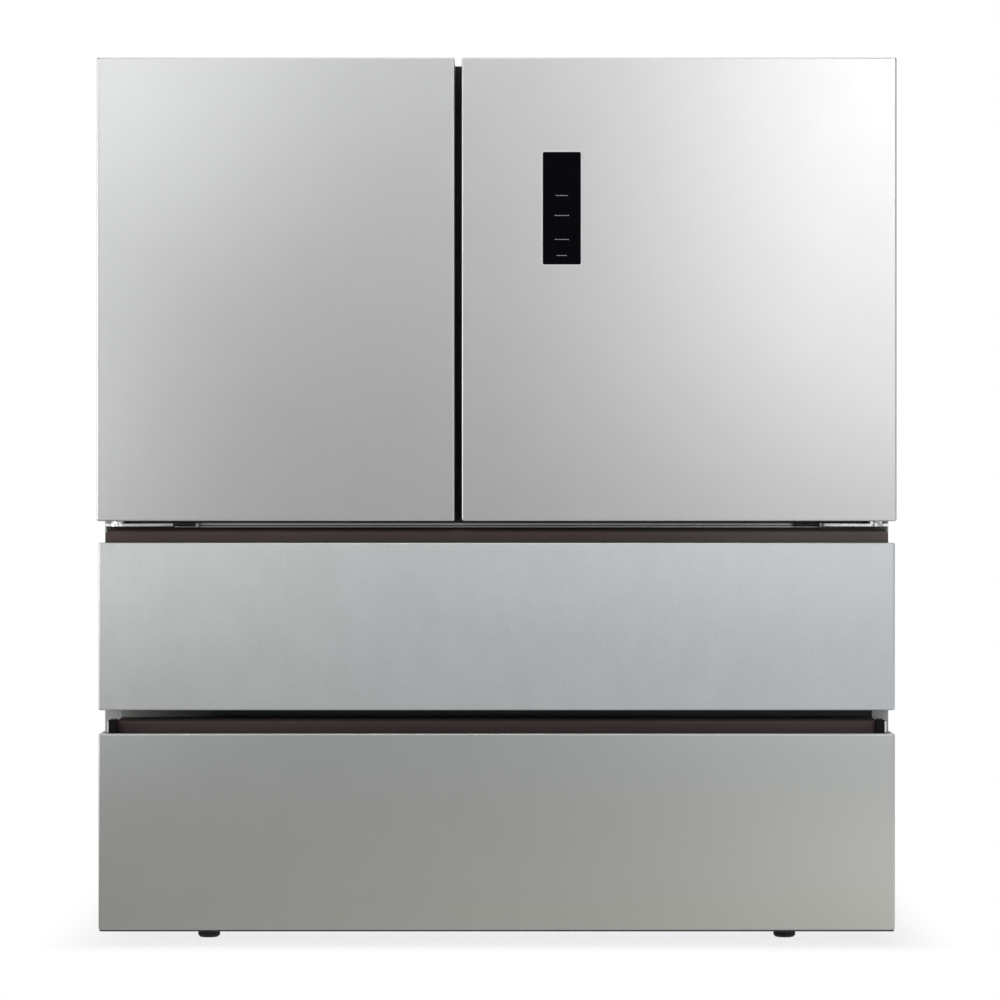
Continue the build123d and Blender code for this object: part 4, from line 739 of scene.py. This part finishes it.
def basket_ribs():
    """Ribs up the sides and along the floor of each drawer basket."""
    wall = BASKET_HALF
    foot_gap, top_gap, corner_gap, pitch = 0.012, 0.018, 0.035, 0.030
    floor_rise, floor_gap, floor_pitch, floor_short = 0.0025, 0.04, 0.026, 0.05
    for drawer in ("upper_drawer", "lower_drawer"):
        low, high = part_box(f"{drawer}_basket")
        rise = high.z - low.z - (foot_gap + top_gap)
        mid_z = low.z + foot_gap + rise / 2
        along = spread(low.y + corner_gap, high.y - corner_gap, pitch)
        sides = [(side * wall, y, mid_z) for side in (-1, 1) for y in along]
        ends = [(x, high.y, mid_z) for x in spread(-wall + corner_gap, wall - corner_gap, pitch)]
        grown(f"{drawer}_basket_ribs", ROUND_BARS, sides + ends, drawer, "clear_bin", Radius=0.0014,
              Length=rise, Along=UPWARD, Coat=BASKET_CLEAR)
        floor = [(x, (low.y + high.y) / 2, low.z + floor_rise)
                 for x in spread(-wall + floor_gap, wall - floor_gap, floor_pitch)]
        grown(f"{drawer}_basket_floor", ROUND_BARS, floor, drawer, "clear_bin", Radius=0.0011,
              Length=high.y - low.y - floor_short, Along=REARWARD, Coat=BASKET_CLEAR)


def bin_lips():
    """Rounded lips and two guard ribs on the door bins."""
    lip_sunk = 0.001
    rib_drops = (0.024, 0.032)
    for door in ("left_door", "right_door"):
        low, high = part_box(f"{door}_bins")
        tops = (low.z + BIN_HEIGHT, high.z)
        length = high.x - low.x - 2 * BIN_CORNER
        middle = (low.x + high.x) / 2
        lips = [(middle, high.y - lip_sunk, top - lip_sunk) for top in tops]
        grown(f"{door}_bin_lips", ROUND_BARS, lips, door, "clear_bin", Radius=0.0028, Length=length,
              Along=SIDEWAYS, Coat=BIN_EDGE)
        ribs = [(middle, high.y, top - drop) for top in tops for drop in rib_drops]
        grown(f"{door}_bin_ribs", ROUND_BARS, ribs, door, "clear_bin", Radius=0.0012, Length=length,
              Along=SIDEWAYS, Coat=BIN_CLEAR)


def shelf_strips():
    """Bright strips along the front bars of the split shelves, and a white one on the crisper cover."""
    low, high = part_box("shelf_frames")
    outer_gap, inner_end, half, bottom, crest, edge = 0.006, 0.010, 0.0010, 0.0115, 0.0030, 0.0009
    for level, top in enumerate(SHELF_TOPS):
        for side, start, end in (("left", low.x + outer_gap, -inner_end),
                                 ("right", inner_end, high.x - outer_gap)):
            rounded_bar(f"shelf_strip_{side}_{level}", (start, low.y - half, top - bottom),
                        (end, low.y + half, top - crest), edge, "cabinet", BRIGHT_RIM)
    low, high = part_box("glass_shelves")
    end_gap, proud, deep, under, over, edge = 0.002, 0.0030, 0.0060, 0.0015, 0.0055, 0.0012
    rounded_bar("crisper_cover_strip", (low.x + end_gap, low.y - proud, low.z - under),
                (high.x - end_gap, low.y + deep, low.z + over), edge, "cabinet", FITTING_WHITE)


def studio_world():
    """White wherever the camera looks, through clear pieces too, and behind the part in its metal. For
    lighting, a dim room in front, lit from low down, and an even back."""
    world = bpy.data.worlds.new("white_studio")
    SCENE.world = world
    world.use_nodes = True
    tree = world.node_tree
    slope, turn = (-0.30, 0.30), (-0.35, 0.35)  # parts of the direction over which the room changes
    direction = put(tree, "ShaderNodeTexCoord").outputs["Generated"]
    way = put(tree, "ShaderNodeSeparateXYZ", {"Vector": direction}).outputs
    low = between(tree, way["X"], *ROOM_FRONT, *slope)
    front = between(tree, way["Z"], low, 0.0, *slope)
    behind = between(tree, way["Y"], 0.0, 1.0, *turn)
    room = reckon(tree, "MULTIPLY", front, reckon(tree, "SUBTRACT", 1.0, behind))
    room = reckon(tree, "ADD", room, reckon(tree, "MULTIPLY", behind, ROOM_BACK))
    ray = put(tree, "ShaderNodeLightPath").outputs
    seen = reckon(tree, "MAXIMUM", ray["Is Camera Ray"], ray["Is Transmission Ray"])
    mirrored = reckon(tree, "MULTIPLY", ray["Is Glossy Ray"], behind)
    backdrop = tree.nodes["Background"].inputs
    strength = reckon(tree, "MAXIMUM", room, reckon(tree, "MAXIMUM", seen, mirrored))
    tree.links.new(strength, backdrop["Strength"])
    backdrop["Color"].default_value = (1.0, 1.0, 1.0, 1.0)


def studio_floor():
    """Pale floor that keeps the object's shadow and thins out into the white backdrop."""
    material = bpy.data.materials.new("studio_floor_pale")
    material.use_nodes = True
    tree = material.node_tree
    tree.nodes.clear()
    place = coordinates(tree)
    beyond = [reckon(tree, "SUBTRACT", reckon(tree, "ABSOLUTE", place[axis], 0.0), half)
              for axis, half in zip("XY", FLOOR_HALF)]
    far = [reckon(tree, "POWER", reckon(tree, "MAXIMUM", side, 0.0), 2.0) for side in beyond]
    reach = reckon(tree, "SQRT", reckon(tree, "ADD", *far), 0.0)
    cover = between(tree, reach, FLOOR_COVER, 0.0, start=0.0, end=FLOOR_FADE, easing="SMOOTHSTEP")
    paper = put(tree, "ShaderNodeBsdfDiffuse", {"Color": FLOOR_PALE}).outputs[0]
    bare = put(tree, "ShaderNodeBsdfTransparent").outputs[0]
    both = put(tree, "ShaderNodeMixShader", {0: cover, 1: bare, 2: paper}).outputs[0]
    put(tree, "ShaderNodeOutputMaterial", {"Surface": both})
    mesh = bpy.data.meshes.new("studio_floor")
    half_x, half_y = (half + FLOOR_FADE for half in FLOOR_HALF)
    corners = [(-half_x, -half_y), (half_x, -half_y), (half_x, half_y), (-half_x, half_y)]
    mesh.from_pydata([(x, y, -FLOOR_DROP) for x, y in corners], [], [(0, 1, 2, 3)])
    floor = bpy.data.objects.new("studio_floor", mesh)
    SCENE.collection.objects.link(floor)
    mesh.materials.append(material)


def softbox(name, place, aim, size, power):
    """A soft lamp that looks from its place at its aim."""
    data = bpy.data.lights.new(name, "AREA")
    data.shape = "RECTANGLE"
    data.size, data.size_y = size
    data.energy = power
    lamp = bpy.data.objects.new(name, data)
    SCENE.collection.objects.link(lamp)
    lamp.location = place
    lamp.rotation_euler = (Vector(aim) - Vector(place)).to_track_quat("-Z", "Y").to_euler()


def photo_camera():
    """The photograph's camera."""
    data = bpy.data.cameras.new("photo_camera")
    data.lens, data.sensor_width = LENS_MM, SENSOR_MM
    camera = bpy.data.objects.new("photo_camera", data)
    SCENE.collection.objects.link(camera)
    camera.location = CAMERA_PLACE
    camera.rotation_euler = (math.pi / 2, 0.0, 0.0)
    SCENE.camera = camera


studio_world()
studio_floor()
for lamp_settings in LAMPS:
    softbox(*lamp_settings)
photo_camera()
SCENE.view_settings.view_transform = "Standard"
touch_panel()
screw_rows()
stop_pegs()
cap_highlight_strips()
bottom_shade_strip()
foot_grips()
basket_ribs()
bin_lips()
shelf_strips()
